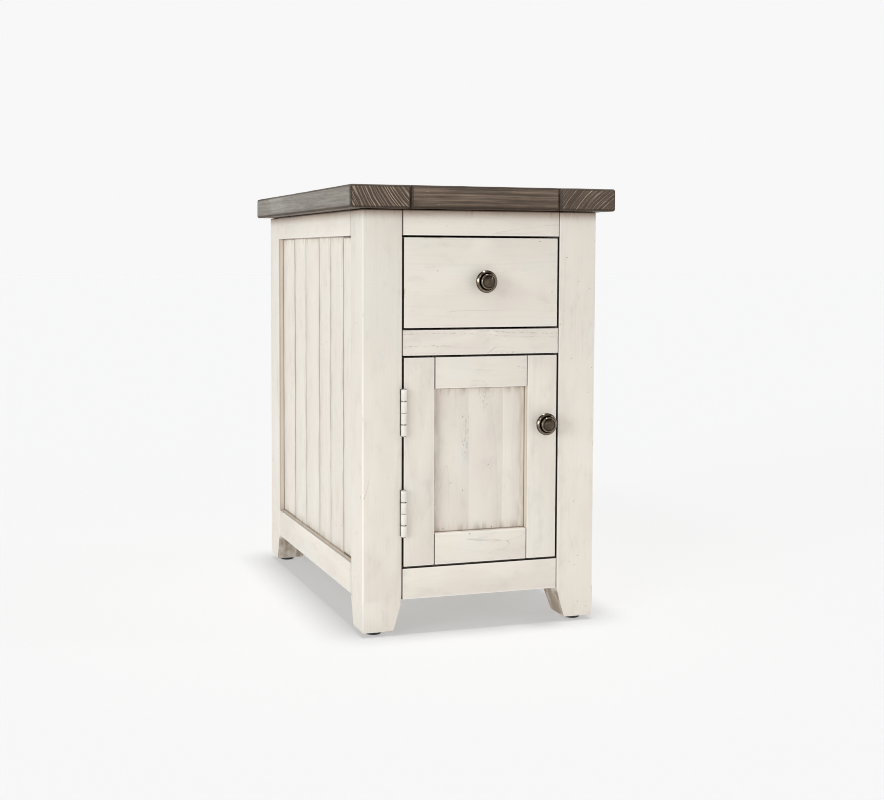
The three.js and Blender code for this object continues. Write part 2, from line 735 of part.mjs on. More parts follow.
function makeDrawer() {
  const drawer = new THREE.Group();
  drawer.position.set(0, FACE_Y, DRAWER_MIDDLE_Z);

  const frontX = INNER_X - REVEAL;
  const frontZ = DRAWER_OPENING_HEIGHT / 2 - REVEAL;
  const boxX = INNER_X - 2 * SLIDE_FIT - SLIDE_THICKNESS;
  const boxY = [FRONT_THICKNESS + GAP, FRONT_THICKNESS + SLIDE_SETBACK + SLIDE_LENGTH];
  const sideZ = DRAWER_SIDE_HEIGHT / 2;
  const bottomZ = -sideZ + DRAWER_BOTTOM_RISE;
  const insideX = boxX - DRAWER_SIDE_THICKNESS;
  const bottomSpan = {
    x: [-insideX - TONGUE + GAP, insideX + TONGUE - GAP],
    y: [FRONT_THICKNESS - TONGUE + GAP, boxY[1] - DRAWER_BOTTOM_SETBACK],
    z: [bottomZ, bottomZ + DRAWER_BOTTOM_THICKNESS],
  };
  const throughBack = { ...bottomSpan, y: [bottomSpan.y[0], boxY[1] + 1] };
  const knobPlace = new THREE.Vector3(0, 0, DRAWER_KNOB_RISE);

  const frontSpan = { x: [-frontX, frontX], y: [0, FRONT_THICKNESS], z: [-frontZ, frontZ] };
  const frontCutters = [screwHole(knobPlace), grooveFor(bottomSpan)];
  drawer.add(board("drawer_front", frontSpan, "paint", { ease: 2, cutters: frontCutters }));
  drawer.add(board("drawer_bottom", bottomSpan, "bareWood", { ease: 0.5 }));
  const backSpan = {
    x: [-insideX + GAP, insideX - GAP],
    y: [boxY[1] - DRAWER_SIDE_THICKNESS, boxY[1]],
    z: [bottomSpan.z[1] + GAP, sideZ],
  };
  drawer.add(board("drawer_back", backSpan, "bareWood"));
  for (const side of SIDES) {
    const span = { x: sided(side.sign, insideX, boxX), y: boxY, z: [-sideZ, sideZ] };
    const cutters = [grooveFor(throughBack)];
    drawer.add(board(`drawer_side_${side.word}`, span, "bareWood", { cutters }));
    const origin = slideOrigin(side.sign).sub(drawer.position);
    const inner = [SLIDE_THICKNESS, INNER_LIP, INNER_CHANNEL_HEIGHT];
    drawer.add(channel(`slide_inner_${side.word}`, side.sign, ...inner, origin));
  }
  drawer.add(makeKnob("drawer_knob", knobPlace));
  drawer.add(makeKnobScrew("drawer_knob_screw", knobPlace));
  return drawer;
}

// ---------------------------------------------------------------------------------------------
// Butt hinges. A leaf's frame is the pin's axis at the middle of the hinge's height.
// ---------------------------------------------------------------------------------------------

// One leaf: a plate in the gap beside the door and every second knuckle of the barrel. The sign
// says which side of the gap the plate lies on, and first which knuckle is its top one.
function makeLeaf(name, sign, first, position) {
  const knuckle = (HINGE_HEIGHT - (HINGE_KNUCKLES - 1) * HINGE_KNUCKLE_GAP) / HINGE_KNUCKLES;
  const plateX = sided(sign, HINGE_PLATE_GAP / 2, HINGE_PLATE_GAP / 2 + HINGE_PLATE_THICKNESS);
  const behindBarrel = HINGE_BARREL_RADIUS + 0.4;
  const insideBarrelWall = HINGE_PIN_RADIUS + HINGE_PIN_CLEARANCE + 0.4;
  const plate = boxOver({
    x: plateX,
    y: [behindBarrel, HINGE_BARREL_PROUD + HINGE_PLATE_WIDTH],
    z: [-HINGE_HEIGHT / 2, HINGE_HEIGHT / 2],
  });
  const parts = [plate];
  const ease = 0.5;
  const bore = HINGE_PIN_RADIUS + HINGE_PIN_CLEARANCE;
  for (let index = first; index < HINGE_KNUCKLES; index += 2) {
    const high = HINGE_HEIGHT / 2 - index * (knuckle + HINGE_KNUCKLE_GAP);
    const low = high - knuckle;
    const ring = [
      [bore, low],
      [HINGE_BARREL_RADIUS - ease, low],
      [HINGE_BARREL_RADIUS, low + ease],
      [HINGE_BARREL_RADIUS, high - ease],
      [HINGE_BARREL_RADIUS - ease, high],
      [bore, high],
      [bore, low],
    ];
    const tab = { x: plateX, y: [insideBarrelWall, behindBarrel + 1], z: [low + ease, high - ease] };
    parts.push(upright(turned(ring, 24)));
    parts.push(boxOver(tab));
  }
  return piece(name, join(parts), "hingePaint", position);
}

function makeHingePin(name, position) {
  const half = HINGE_HEIGHT / 2 + GAP;
  const end = half + HINGE_HEAD_HEIGHT;
  const profile = [
    [0, -end],
    [HINGE_HEAD_RADIUS - 1, -end],
    [HINGE_HEAD_RADIUS, -half - 0.3],
    [HINGE_HEAD_RADIUS, -half],
    [HINGE_PIN_RADIUS, -half],
    [HINGE_PIN_RADIUS, half],
    [HINGE_HEAD_RADIUS, half],
    [HINGE_HEAD_RADIUS, half + 0.3],
    [HINGE_HEAD_RADIUS - 1, end],
    [0, end],
  ];
  return piece(name, upright(turned(profile, 24)), "hingePaint", position);
}

const HINGE_WORDS = ["lower", "upper"];

function makeFrameHinges() {
  const hinges = new THREE.Group();
  hinges.position.set(HINGE_X, HINGE_Y, DOOR_LOW_Z + REVEAL);
  HINGE_WORDS.forEach((word, index) => {
    const middle = new THREE.Vector3(0, 0, HINGE_CENTERS[index]);
    hinges.add(makeLeaf(`hinge_${word}_frame_leaf`, -1, 0, middle));
    hinges.add(makeHingePin(`hinge_${word}_pin`, middle));
  });
  return hinges;
}

// ---------------------------------------------------------------------------------------------
// Door. Its frame is the hinge axis at the door's bottom edge.
// ---------------------------------------------------------------------------------------------

function makeDoor() {
  const door = new THREE.Group();
  door.position.set(HINGE_X, HINGE_Y, DOOR_LOW_Z + REVEAL);

  const left = REVEAL / 2;
  const right = left + DOOR_WIDTH;
  const y = [HINGE_BARREL_PROUD, HINGE_BARREL_PROUD + FRONT_THICKNESS];
  const reach = TONGUE - GAP;
  const panelY = y[0] + DOOR_PANEL_RECESS;
  const panelSpan = {
    x: [left + DOOR_STILE - reach, right - DOOR_STILE + reach],
    y: [panelY, panelY + DOOR_PANEL_THICKNESS],
    z: [DOOR_RAIL - reach, DOOR_HEIGHT - DOOR_RAIL + reach],
  };
  const groove = grooveFor(panelSpan);
  const platesX = HINGE_PLATE_GAP / 2 + HINGE_PLATE_THICKNESS;
  const knobPlace = new THREE.Vector3(right - DOOR_STILE / 2, y[0], DOOR_HEIGHT - DOOR_KNOB_DROP);

  const leftSpan = { x: [left, left + DOOR_STILE], y, z: [0, DOOR_HEIGHT] };
  const leftCutters = [groove, ...mortises(platesX, left, 0, y[0])];
  door.add(board("door_stile_left", leftSpan, "paint", { ease: 1.5, cutters: leftCutters }));
  const rightSpan = { x: [right - DOOR_STILE, right], y, z: [0, DOOR_HEIGHT] };
  const rightCutters = [groove, screwHole(knobPlace)];
  door.add(board("door_stile_right", rightSpan, "paint", { ease: 1.5, cutters: rightCutters }));
  const railZ = { bottom: [0, DOOR_RAIL], top: [DOOR_HEIGHT - DOOR_RAIL, DOOR_HEIGHT] };
  for (const [level, z] of Object.entries(railZ)) {
    const span = { x: [left + DOOR_STILE + GAP, right - DOOR_STILE - GAP], y, z };
    door.add(board(`door_rail_${level}`, span, "paint", { ease: 1.5, cutters: [groove] }));
  }
  door.add(board("door_panel", panelSpan, "paint", { ease: 0.5 }));
  HINGE_WORDS.forEach((word, index) => {
    const middle = new THREE.Vector3(0, 0, HINGE_CENTERS[index]);
    door.add(makeLeaf(`hinge_${word}_door_leaf`, 1, 1, middle));
  });
  door.add(makeKnob("door_knob", knobPlace));
  door.add(makeKnobScrew("door_knob_screw", knobPlace));

  const strikeX = CATCH_X - HINGE_X;
  const strikeZ = DOOR_HEIGHT - 2;
  const strikeSpan = {
    x: [strikeX - STRIKE_WIDTH / 2, strikeX + STRIKE_WIDTH / 2],
    y: [y[1] + GAP, y[1] + GAP + STRIKE_THICKNESS],
    z: [strikeZ - STRIKE_HEIGHT, strikeZ],
  };
  door.add(board("catch_strike_plate", strikeSpan, "zinc", { ease: 0.2 }));
  return door;
}

// The catch's magnet housing, screwed up into the middle rail behind the door.
function makeCatch() {
  const frontY = FACE_Y + FRONT_THICKNESS + STRIKE_THICKNESS + 2 * GAP;
  const span = {
    x: [CATCH_X - CATCH_WIDTH / 2, CATCH_X + CATCH_WIDTH / 2],
    y: [frontY, frontY + CATCH_DEPTH],
    z: [DOOR_HIGH_Z - GAP - CATCH_HEIGHT, DOOR_HIGH_Z - GAP],
  };
  return board("magnetic_catch", span, "brownPlastic");
}

// ---------------------------------------------------------------------------------------------
// The table
// ---------------------------------------------------------------------------------------------

const table = new THREE.Group();
table.add(
  makeTop(),
  makeLegs(),
  makeRails(),
  makePanels(),
  makeCabinetFloor(),
  makeCornerBlocks(),
  makeSlideBoards(),
  makeCabinetSlides(),
  makeFrameHinges(),
  makeCatch(),
  makeDrawer(),
  makeDoor(),
);

export default table;
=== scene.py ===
# %% [markdown]
# # A chairside table with a drawer and a door
# The table is a small painted cabinet on four posts, with a brown plank top, one drawer and one
# framed door. Its exact sizes and its moving parts come from a finished CAD model, which is loaded
# first and never changed. Every piece made here takes its place from a CAD piece, rides on the same
# moving body, and adds what a drawing lacks: eased edges, joints, grain, paint and wear.

# %% Load the fixed frame
import json
import math
import random

import bmesh
import bpy
from mathutils import Matrix, Vector

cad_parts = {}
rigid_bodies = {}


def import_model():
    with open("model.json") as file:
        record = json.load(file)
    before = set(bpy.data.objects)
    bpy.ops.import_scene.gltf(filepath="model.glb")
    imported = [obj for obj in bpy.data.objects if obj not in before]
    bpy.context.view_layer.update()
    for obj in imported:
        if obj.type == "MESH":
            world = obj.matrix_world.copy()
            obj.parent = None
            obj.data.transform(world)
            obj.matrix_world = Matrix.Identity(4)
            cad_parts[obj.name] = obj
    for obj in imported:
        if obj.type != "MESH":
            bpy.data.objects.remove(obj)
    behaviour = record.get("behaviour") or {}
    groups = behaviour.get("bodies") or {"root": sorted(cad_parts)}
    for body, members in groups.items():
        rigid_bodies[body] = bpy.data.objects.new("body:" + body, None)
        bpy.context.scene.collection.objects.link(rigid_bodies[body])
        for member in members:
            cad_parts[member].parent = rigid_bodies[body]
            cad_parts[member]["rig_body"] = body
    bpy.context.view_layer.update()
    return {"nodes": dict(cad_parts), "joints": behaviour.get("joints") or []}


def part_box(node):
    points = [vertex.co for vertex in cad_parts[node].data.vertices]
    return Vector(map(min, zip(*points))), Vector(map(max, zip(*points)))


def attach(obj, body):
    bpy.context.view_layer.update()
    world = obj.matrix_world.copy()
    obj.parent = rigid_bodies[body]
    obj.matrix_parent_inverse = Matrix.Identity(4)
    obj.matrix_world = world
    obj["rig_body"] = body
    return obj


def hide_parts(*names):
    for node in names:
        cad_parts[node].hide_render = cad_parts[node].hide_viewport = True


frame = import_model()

MM = 0.001

# %% [markdown]
# ## Camera
# A camera is set by where it stands, which way it looks and how long its lens is. The table is seen
# from its left front, a little above the middle, from over two metres away, so its upright edges
# stay almost parallel. The three directions of the camera are worked out as a surveyor would: turn
# to the side, tilt down, then a very slight lean.

# %% Set up the camera
CAMERA_PLACE = Vector((-0.7293, -2.1997, 0.5357))
TURN, TILT, LEAN = (math.radians(angle) for angle in (19.215, -4.086, 0.215))
forward = Vector((math.sin(TURN) * math.cos(TILT), math.cos(TURN) * math.cos(TILT), math.sin(TILT)))
level = Vector((math.cos(TURN), -math.sin(TURN), 0))
rightward = level * math.cos(LEAN) + level.cross(forward) * math.sin(LEAN)
upward = rightward.cross(forward)

bpy.ops.object.select_all(action="DESELECT")
bpy.ops.object.camera_add(location=CAMERA_PLACE)
camera = bpy.context.object
camera.name = "camera"
camera.rotation_euler = Matrix((rightward, upward, -forward)).transposed().to_euler()
camera.data.sensor_width = 36
camera.data.lens = 58.73
camera.data.shift_y = -0.04525
bpy.context.scene.camera = camera
bpy.context.scene.view_settings.view_transform = "Standard"
bpy.context.scene.cycles.filter_width = 1.0
print("camera stands", round(CAMERA_PLACE.length, 3), "m from the middle of the floor")

# %% [markdown]
# ## Writing a finish as sums
# A finish is a network of nodes. Written out node by node it hides its own idea, so two small
# classes let it be written as sums. A Wire is one output of a node, and adding or multiplying wires
# adds the Math or Vector Math node that does it. A Finish makes any other node: its settings first,
# then the numbers or wires that go into its sockets.

# %% One wire
class Wire:
    """One output of a node, which can be used in sums."""

    def __init__(self, finish, socket):
        self.finish = finish
        self.socket = socket

    def __add__(self, other):
        return self.finish.sum("ADD", self, other)

    def __radd__(self, other):
        return self.finish.sum("ADD", other, self)

    def __sub__(self, other):
        return self.finish.sum("SUBTRACT", self, other)

    def __rsub__(self, other):
        return self.finish.sum("SUBTRACT", other, self)

    def __mul__(self, other):
        return self.finish.sum("MULTIPLY", self, other)

    def __rmul__(self, other):
        return self.finish.sum("MULTIPLY", other, self)

    def __truediv__(self, other):
        return self.finish.sum("DIVIDE", self, other)

    def __pow__(self, other):
        return self.finish.sum("POWER", self, other)

    def __abs__(self):
        return self.finish.sum("ABSOLUTE", self)


print("methods of a wire:", ", ".join(name for name, item in vars(Wire).items() if callable(item)))

# %% [markdown]
# A Finish holds the nodes of one material, or of the sky. Its methods are the few moves that every
# finish below is made of: a soft step, cloudy noise, a mix of two colours, and a bump.

# %% A whole finish
class Finish:
    """A node network, for one material or for the sky."""

    def __init__(self, owner):
        owner.use_nodes = True
        owner.node_tree.nodes.clear()
        self.owner = owner
        self.tree = owner.node_tree

    def node(self, kind, settings=None, sockets=None, output=0):
        """Adds a node, sets it up, fills its sockets and gives back one of its outputs."""
        made = self.tree.nodes.new(kind)
        for name, value in (settings or {}).items():
            if name == "stops":
                self.fill_ramp(made.color_ramp, value)
            else:
                setattr(made, name, value)
        for name, value in (sockets or {}).items():
            socket = next(s for s in made.inputs if s.identifier == name)
            if isinstance(value, Wire):
                self.tree.links.new(value.socket, socket)
            elif socket.type == "RGBA":
                socket.default_value = (*value, 1)
            else:
                socket.default_value = value
        return Wire(self, made.outputs[output]) if made.outputs else made

    def fill_ramp(self, ramp, stops):
        """Sets a colour ramp from pairs of a place and a colour, lowest place first."""
        while len(ramp.elements) < len(stops):
            ramp.elements.new(1)
        for element, (place, colour) in zip(ramp.elements, stops):
            element.position = place
            element.color = (*colour, 1)

    def sum(self, operation, *terms):
        """A Math node for numbers, or a Vector Math node as soon as one term is a vector."""
        vector = any(
            term.socket.type != "VALUE" if isinstance(term, Wire) else isinstance(term, tuple)
            for term in terms
        )
        if not vector:
            names = ("Value", "Value_001", "Value_002")
            return self.node("ShaderNodeMath", {"operation": operation}, dict(zip(names, terms)))
        terms = [(term,) * 3 if isinstance(term, (int, float)) else term for term in terms]
        names = ("Vector", "Vector_001", "Vector_002")
        return self.node("ShaderNodeVectorMath", {"operation": operation}, dict(zip(names, terms)))

    def least(self, one, other):
        return self.sum("MINIMUM", one, other)

    def most(self, one, other):
        return self.sum("MAXIMUM", one, other)

    def split(self, vector):
        """The three numbers of a vector."""
        first = self.node("ShaderNodeSeparateXYZ", sockets={"Vector": vector})
        return [Wire(self, socket) for socket in first.socket.node.outputs]

    def fade(self, value, low, high):
        """Rises softly from 0 at low to 1 at high. With low above high it falls instead."""
        sockets = {"Value": value, "From Min": low, "From Max": high}
        return self.node("ShaderNodeMapRange", {"interpolation_type": "SMOOTHSTEP"}, sockets)

    def noise(self, place, detail=2.0, rough=0.5, warp=0.0):
        """Cloudy noise about 0.5, one cloud to each unit of place."""
        sockets = {
            "Vector": place,
            "Scale": 1.0,
            "Detail": detail,
            "Roughness": rough,
            "Distortion": warp,
        }
        return self.node("ShaderNodeTexNoise", sockets=sockets)

    def ramp(self, value, *stops):
        return self.node("ShaderNodeValToRGB", {"stops": stops}, {"Fac": value})

    def mix(self, colour, other, amount):
        """The first colour, turning into the other as amount goes from 0 to 1."""
        sockets = {"Factor_Float": amount, "A_Color": colour, "B_Color": other}
        return self.node("ShaderNodeMix", {"data_type": "RGBA"}, sockets, "Result")

    def attribute(self, name):
        return self.node("ShaderNodeAttribute", {"attribute_name": name}, output="Vector")

    def bump(self, height, depth):
        """Turns height, 0 to 1, into dents up to depth metres deep."""
        return self.node("ShaderNodeBump", sockets={"Height": height, "Distance": depth})

    def surface(self, **sockets):
        """Ends a material in one Principled shader. An underscore in a name stands for a space."""
        named = {name.replace("_", " "): value for name, value in sockets.items()}
        shader = self.node("ShaderNodeBsdfPrincipled", sockets=named)
        self.node("ShaderNodeOutputMaterial", sockets={"Surface": shader})
        print("finish:", self.owner.name, "with", len(self.tree.nodes), "nodes")
        return self.owner


def new_finish(name):
    return Finish(bpy.data.materials.new(name))


print("moves of a finish:", len([name for name in vars(Finish) if not name.startswith("__")]))

# %% [markdown]
# ## Studio
# The table stands in a pale room under soft light. A picture of a real studio could light it, but a
# plain glow needs no picture. The glow is darker overhead than at the sides, so that a lacquered
# edge shows where it turns.

# %% Sky glow
WHITE = 0.938
OVERHEAD = 0.30
scene = bpy.context.scene
scene.world = bpy.data.worlds.new("studio glow")
sky = Finish(scene.world)
direction = sky.node("ShaderNodeTexCoord", output="Generated")
height_in_sky = sky.split(direction)[2]
glow = WHITE - (WHITE - OVERHEAD) * sky.fade(height_in_sky, 0.22, 0.75)
background = sky.node("ShaderNodeBackground", sockets={"Color": (1, 1, 1), "Strength": glow})
sky.node("ShaderNodeOutputWorld", sockets={"Surface": background})
print("sky from", WHITE, "at the horizon to", OVERHEAD, "overhead")

# %% [markdown]
# A glow alone leaves only a faint shadow, so a wide lamp straight above makes one. A second
# lamp fills in from the side, and two weak ones put the glints on the knobs. Area lamps would need
# placing and would fade with distance. Sun lamps need only a direction, and how wide each looks in
# the sky sets how soft its shadow is. The sweep is one large plane that gives a little light of its
# own, as a lit table does, which keeps the shadow pale.

# %% Lamps and the pale sweep
def add_lamp(name, power, softness, towards, colour=(1, 1, 1)):
    """A sun lamp that shines along a direction. Its softness is how wide it looks, in degrees."""
    bpy.ops.object.select_all(action="DESELECT")
    bpy.ops.object.light_add(type="SUN", rotation=Vector(towards).to_track_quat("-Z", "Y").to_euler())
    lamp = bpy.context.object
    lamp.name = name
    lamp.data.energy = power
    lamp.data.angle = math.radians(softness)
    lamp.data.color = colour


add_lamp("overhead_lamp", 3.0, 9, (0.0, 0.02, -1.0))
add_lamp("side_lamp", 0.95, 22, (0.86, 0.49, -0.14), (0.90, 1.0, 1.03))
add_lamp("near_glint_lamp", 0.18, 11, (0.55, 0.55, -0.62))
add_lamp("far_glint_lamp", 0.20, 14, (-0.834, 0.213, -0.5145))

bpy.ops.mesh.primitive_plane_add(size=80)
sweep = bpy.context.object
sweep.name = "pale_sweep"
CARD_DARK = (0.374, 0.374, 0.374)
CARD_LIGHT = (0.384, 0.384, 0.384)
CARD_GLOW = 0.358
card = new_finish("pale_card")
speckle = card.noise(card.node("ShaderNodeTexCoord", output="Object") * (90.0, 90.0, 90.0))
card_white = card.mix(CARD_DARK, CARD_LIGHT, speckle)
sweep.data.materials.append(
    card.surface(
        Base_Color=card_white,
        Roughness=1.0,
        Specular_IOR_Level=0.0,
        Emission_Color=(1, 1, 1),
        Emission_Strength=CARD_GLOW,
    )
)
print("lamps:", len(bpy.data.lights), "and a sweep", round(sweep.dimensions.x), "m wide")

# %% [markdown]
# ## Timber
# Every board is its own piece of a tree. The finish needs to know where a point lies on its own
# board: across it, through it and along its grain. Each corner of the mesh therefore carries these
# numbers. The rings of the tree are then circles round the heart it was sawn from, which gives
# arches on a wide face, stripes on a narrow one and curved rings on an end, all from one rule.

# %% Rings of the tree
ONE_WAY = {"noise_dimensions": "1D"}


def tree_rings(finish, spot, luck, heart, ring_width, wander):
    """How far into its year's ring each point is, and the luck of that year, both from 0 to 1."""
    across, through, _ = finish.split(spot)
    heart_across, heart_through, _ = finish.split(heart)
    sway = finish.noise(luck + spot * (3.0, 3.0, 2.2), 1.0)
    roll = finish.noise(luck * 1.7 + spot * (4.0, 4.0, 3.1), 1.0)
    fuzz = finish.noise(luck + spot * (60.0, 60.0, 9.0), 2.0)
    sideways = across - heart_across + (sway - 0.5) * wander
    depth = through - heart_through + (roll - 0.5) * wander
    radius = (sideways * sideways + depth * depth) ** 0.5
    seasons = finish.node("ShaderNodeTexNoise", ONE_WAY, {"W": radius * 70.0, "Scale": 1.0})
    years = radius / ring_width + seasons * 3.0 + fuzz * 0.45
    year = finish.sum("FLOOR", years)
    harvest = finish.node("ShaderNodeTexWhiteNoise", ONE_WAY, {"W": year})
    return finish.sum("FRACT", years), harvest


def board_marks(finish):
    """Where a point lies on its board: the spot, the board's half sizes, its luck and its heart."""
    return [finish.attribute(name) for name in ("spot", "half_size", "luck", "heart")]


def seam_distance(finish):
    """Metres to the nearest side of the board that meets another board."""
    sides = finish.split(finish.attribute("seam_low")) + finish.split(finish.attribute("seam_high"))
    nearest = sides[0]
    for side in sides[1:]:
        nearest = finish.least(nearest, side)
    return nearest


def edge_distance(finish, spot, half_size):
    """Metres to the nearest edge of the board: the middle one of the distances to its faces."""
    first, second, third = finish.split(half_size - abs(spot))
    smaller = finish.least(first, second)
    larger = finish.most(first, second)
    return finish.most(smaller, finish.least(larger, third))


# %% [markdown]
# ## Where the shade is painted
# The cabinet is painted ivory and rubbed with a thin brown glaze. In three places where shade falls,
# the paint is darkened as painted shade: right under the top, on the inner slopes of the feet and in
# the gaps round the drawer and door. These places could be painted by hand on an image. Here each is
# a rule on where a point lies, so nothing has to be painted again when a mesh changes.

# %% Colours of the paint
IVORY = (0.792, 0.728, 0.644)
ROSE_IVORY = (0.757, 0.678, 0.603)
COOL_IVORY = (0.800, 0.760, 0.685)
# Glaze for the seams, also used as the painted shade on the inner slopes of the feet
GLAZE_AND_SHADE_BROWN = (0.230, 0.155, 0.100)
SEAM_LINE = (0.100, 0.068, 0.048)
WARM_TINT = (0.640, 0.500, 0.375)
# Painted light: shade under the top, shade in the gaps, a highlight along the edges
UNDER_TOP_SHADE_BROWN = (0.236, 0.104, 0.040)
GAP_SHADE_DARK = (0.040, 0.025, 0.017)
EDGE_HIGHLIGHT = (0.880, 0.845, 0.790)
RUBBED = (0.400, 0.300, 0.210)
SPECK = (0.300, 0.235, 0.180)
print("ivory", IVORY, "glaze", GLAZE_AND_SHADE_BROWN)


# %% Places that the painted shade depends on
def opening(node_below, node_above):
    """The half width, lowest and highest z of an opening between two front rails."""
    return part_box("leg_front_right")[0].x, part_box(node_below)[1].z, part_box(node_above)[0].z


OPENINGS = (
    opening("front_rail_bottom", "front_rail_middle"),
    opening("front_rail_middle", "front_rail_top"),
)
REVEAL = OPENINGS[0][0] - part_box("drawer_front")[1].x
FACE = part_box("drawer_front")[0].y
UNDER_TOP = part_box("top_board_left")[0].z
TAPER_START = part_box("front_rail_bottom")[0].z
print("gap round the drawer:", round(REVEAL / MM, 2), "mm, feet taper below", round(TAPER_START, 3))


# %% Painted shade under the top, on the feet and in the gaps
def under_top(finish):
    """Under the top: a dark line along its joint, and a warm painted shade that runs out below it,
    where the top shades the paint.
    """
    place = finish.node("ShaderNodeTexCoord", output="Object")
    z = finish.split(place)[2]
    ragged = finish.fade(finish.noise(place * (420.0, 420.0, 60.0), 2.0), 0.50, 0.66)
    ragged = ragged * finish.fade(finish.noise(place * (45.0, 45.0, 20.0), 1.0), 0.42, 0.62)
    line = finish.fade(z, UNDER_TOP - 0.0030, UNDER_TOP - 0.0012)
    shade = finish.fade(z, UNDER_TOP - 0.0165, UNDER_TOP) * (0.60 + 0.16 * ragged)
    below = finish.fade(z, UNDER_TOP + 0.002, UNDER_TOP + 0.001)
    return below * line * 0.9, below * shade


def inner_foot(finish):
    """1 on the sloping inner faces of the feet, which face in under the cabinet, where the paint is
    darkened as painted shade.
    """
    x, y, z = finish.split(finish.node("ShaderNodeTexCoord", output="Object"))
    facing_x, facing_y, _ = finish.split(finish.node("ShaderNodeNewGeometry", output="Normal"))
    inward = finish.most(-7.0 * x * facing_x, -4.0 * y * facing_y)
    return finish.fade(inward, 0.35, 0.75) * finish.fade(z, TAPER_START + 0.001, TAPER_START - 0.010)


def painted_gap_shade(finish):
    """1 near the front on the walls of the gap round the drawer and the door, which are painted dark as
    painted shade.
    """
    x, y, z = finish.split(finish.node("ShaderNodeTexCoord", output="Object"))
    gap = None
    for half_width, low, high in OPENINGS:
        outside = finish.most(abs(x) - half_width, abs(z - (low + high) / 2) - (high - low) / 2)
        wall = finish.fade(abs(outside + REVEAL / 2), REVEAL / 2 + 0.0007, REVEAL / 2 + 0.0002)
        gap = wall if gap is None else finish.most(gap, wall)
    return gap * finish.fade(y, FACE + 0.0095, FACE + 0.0045)
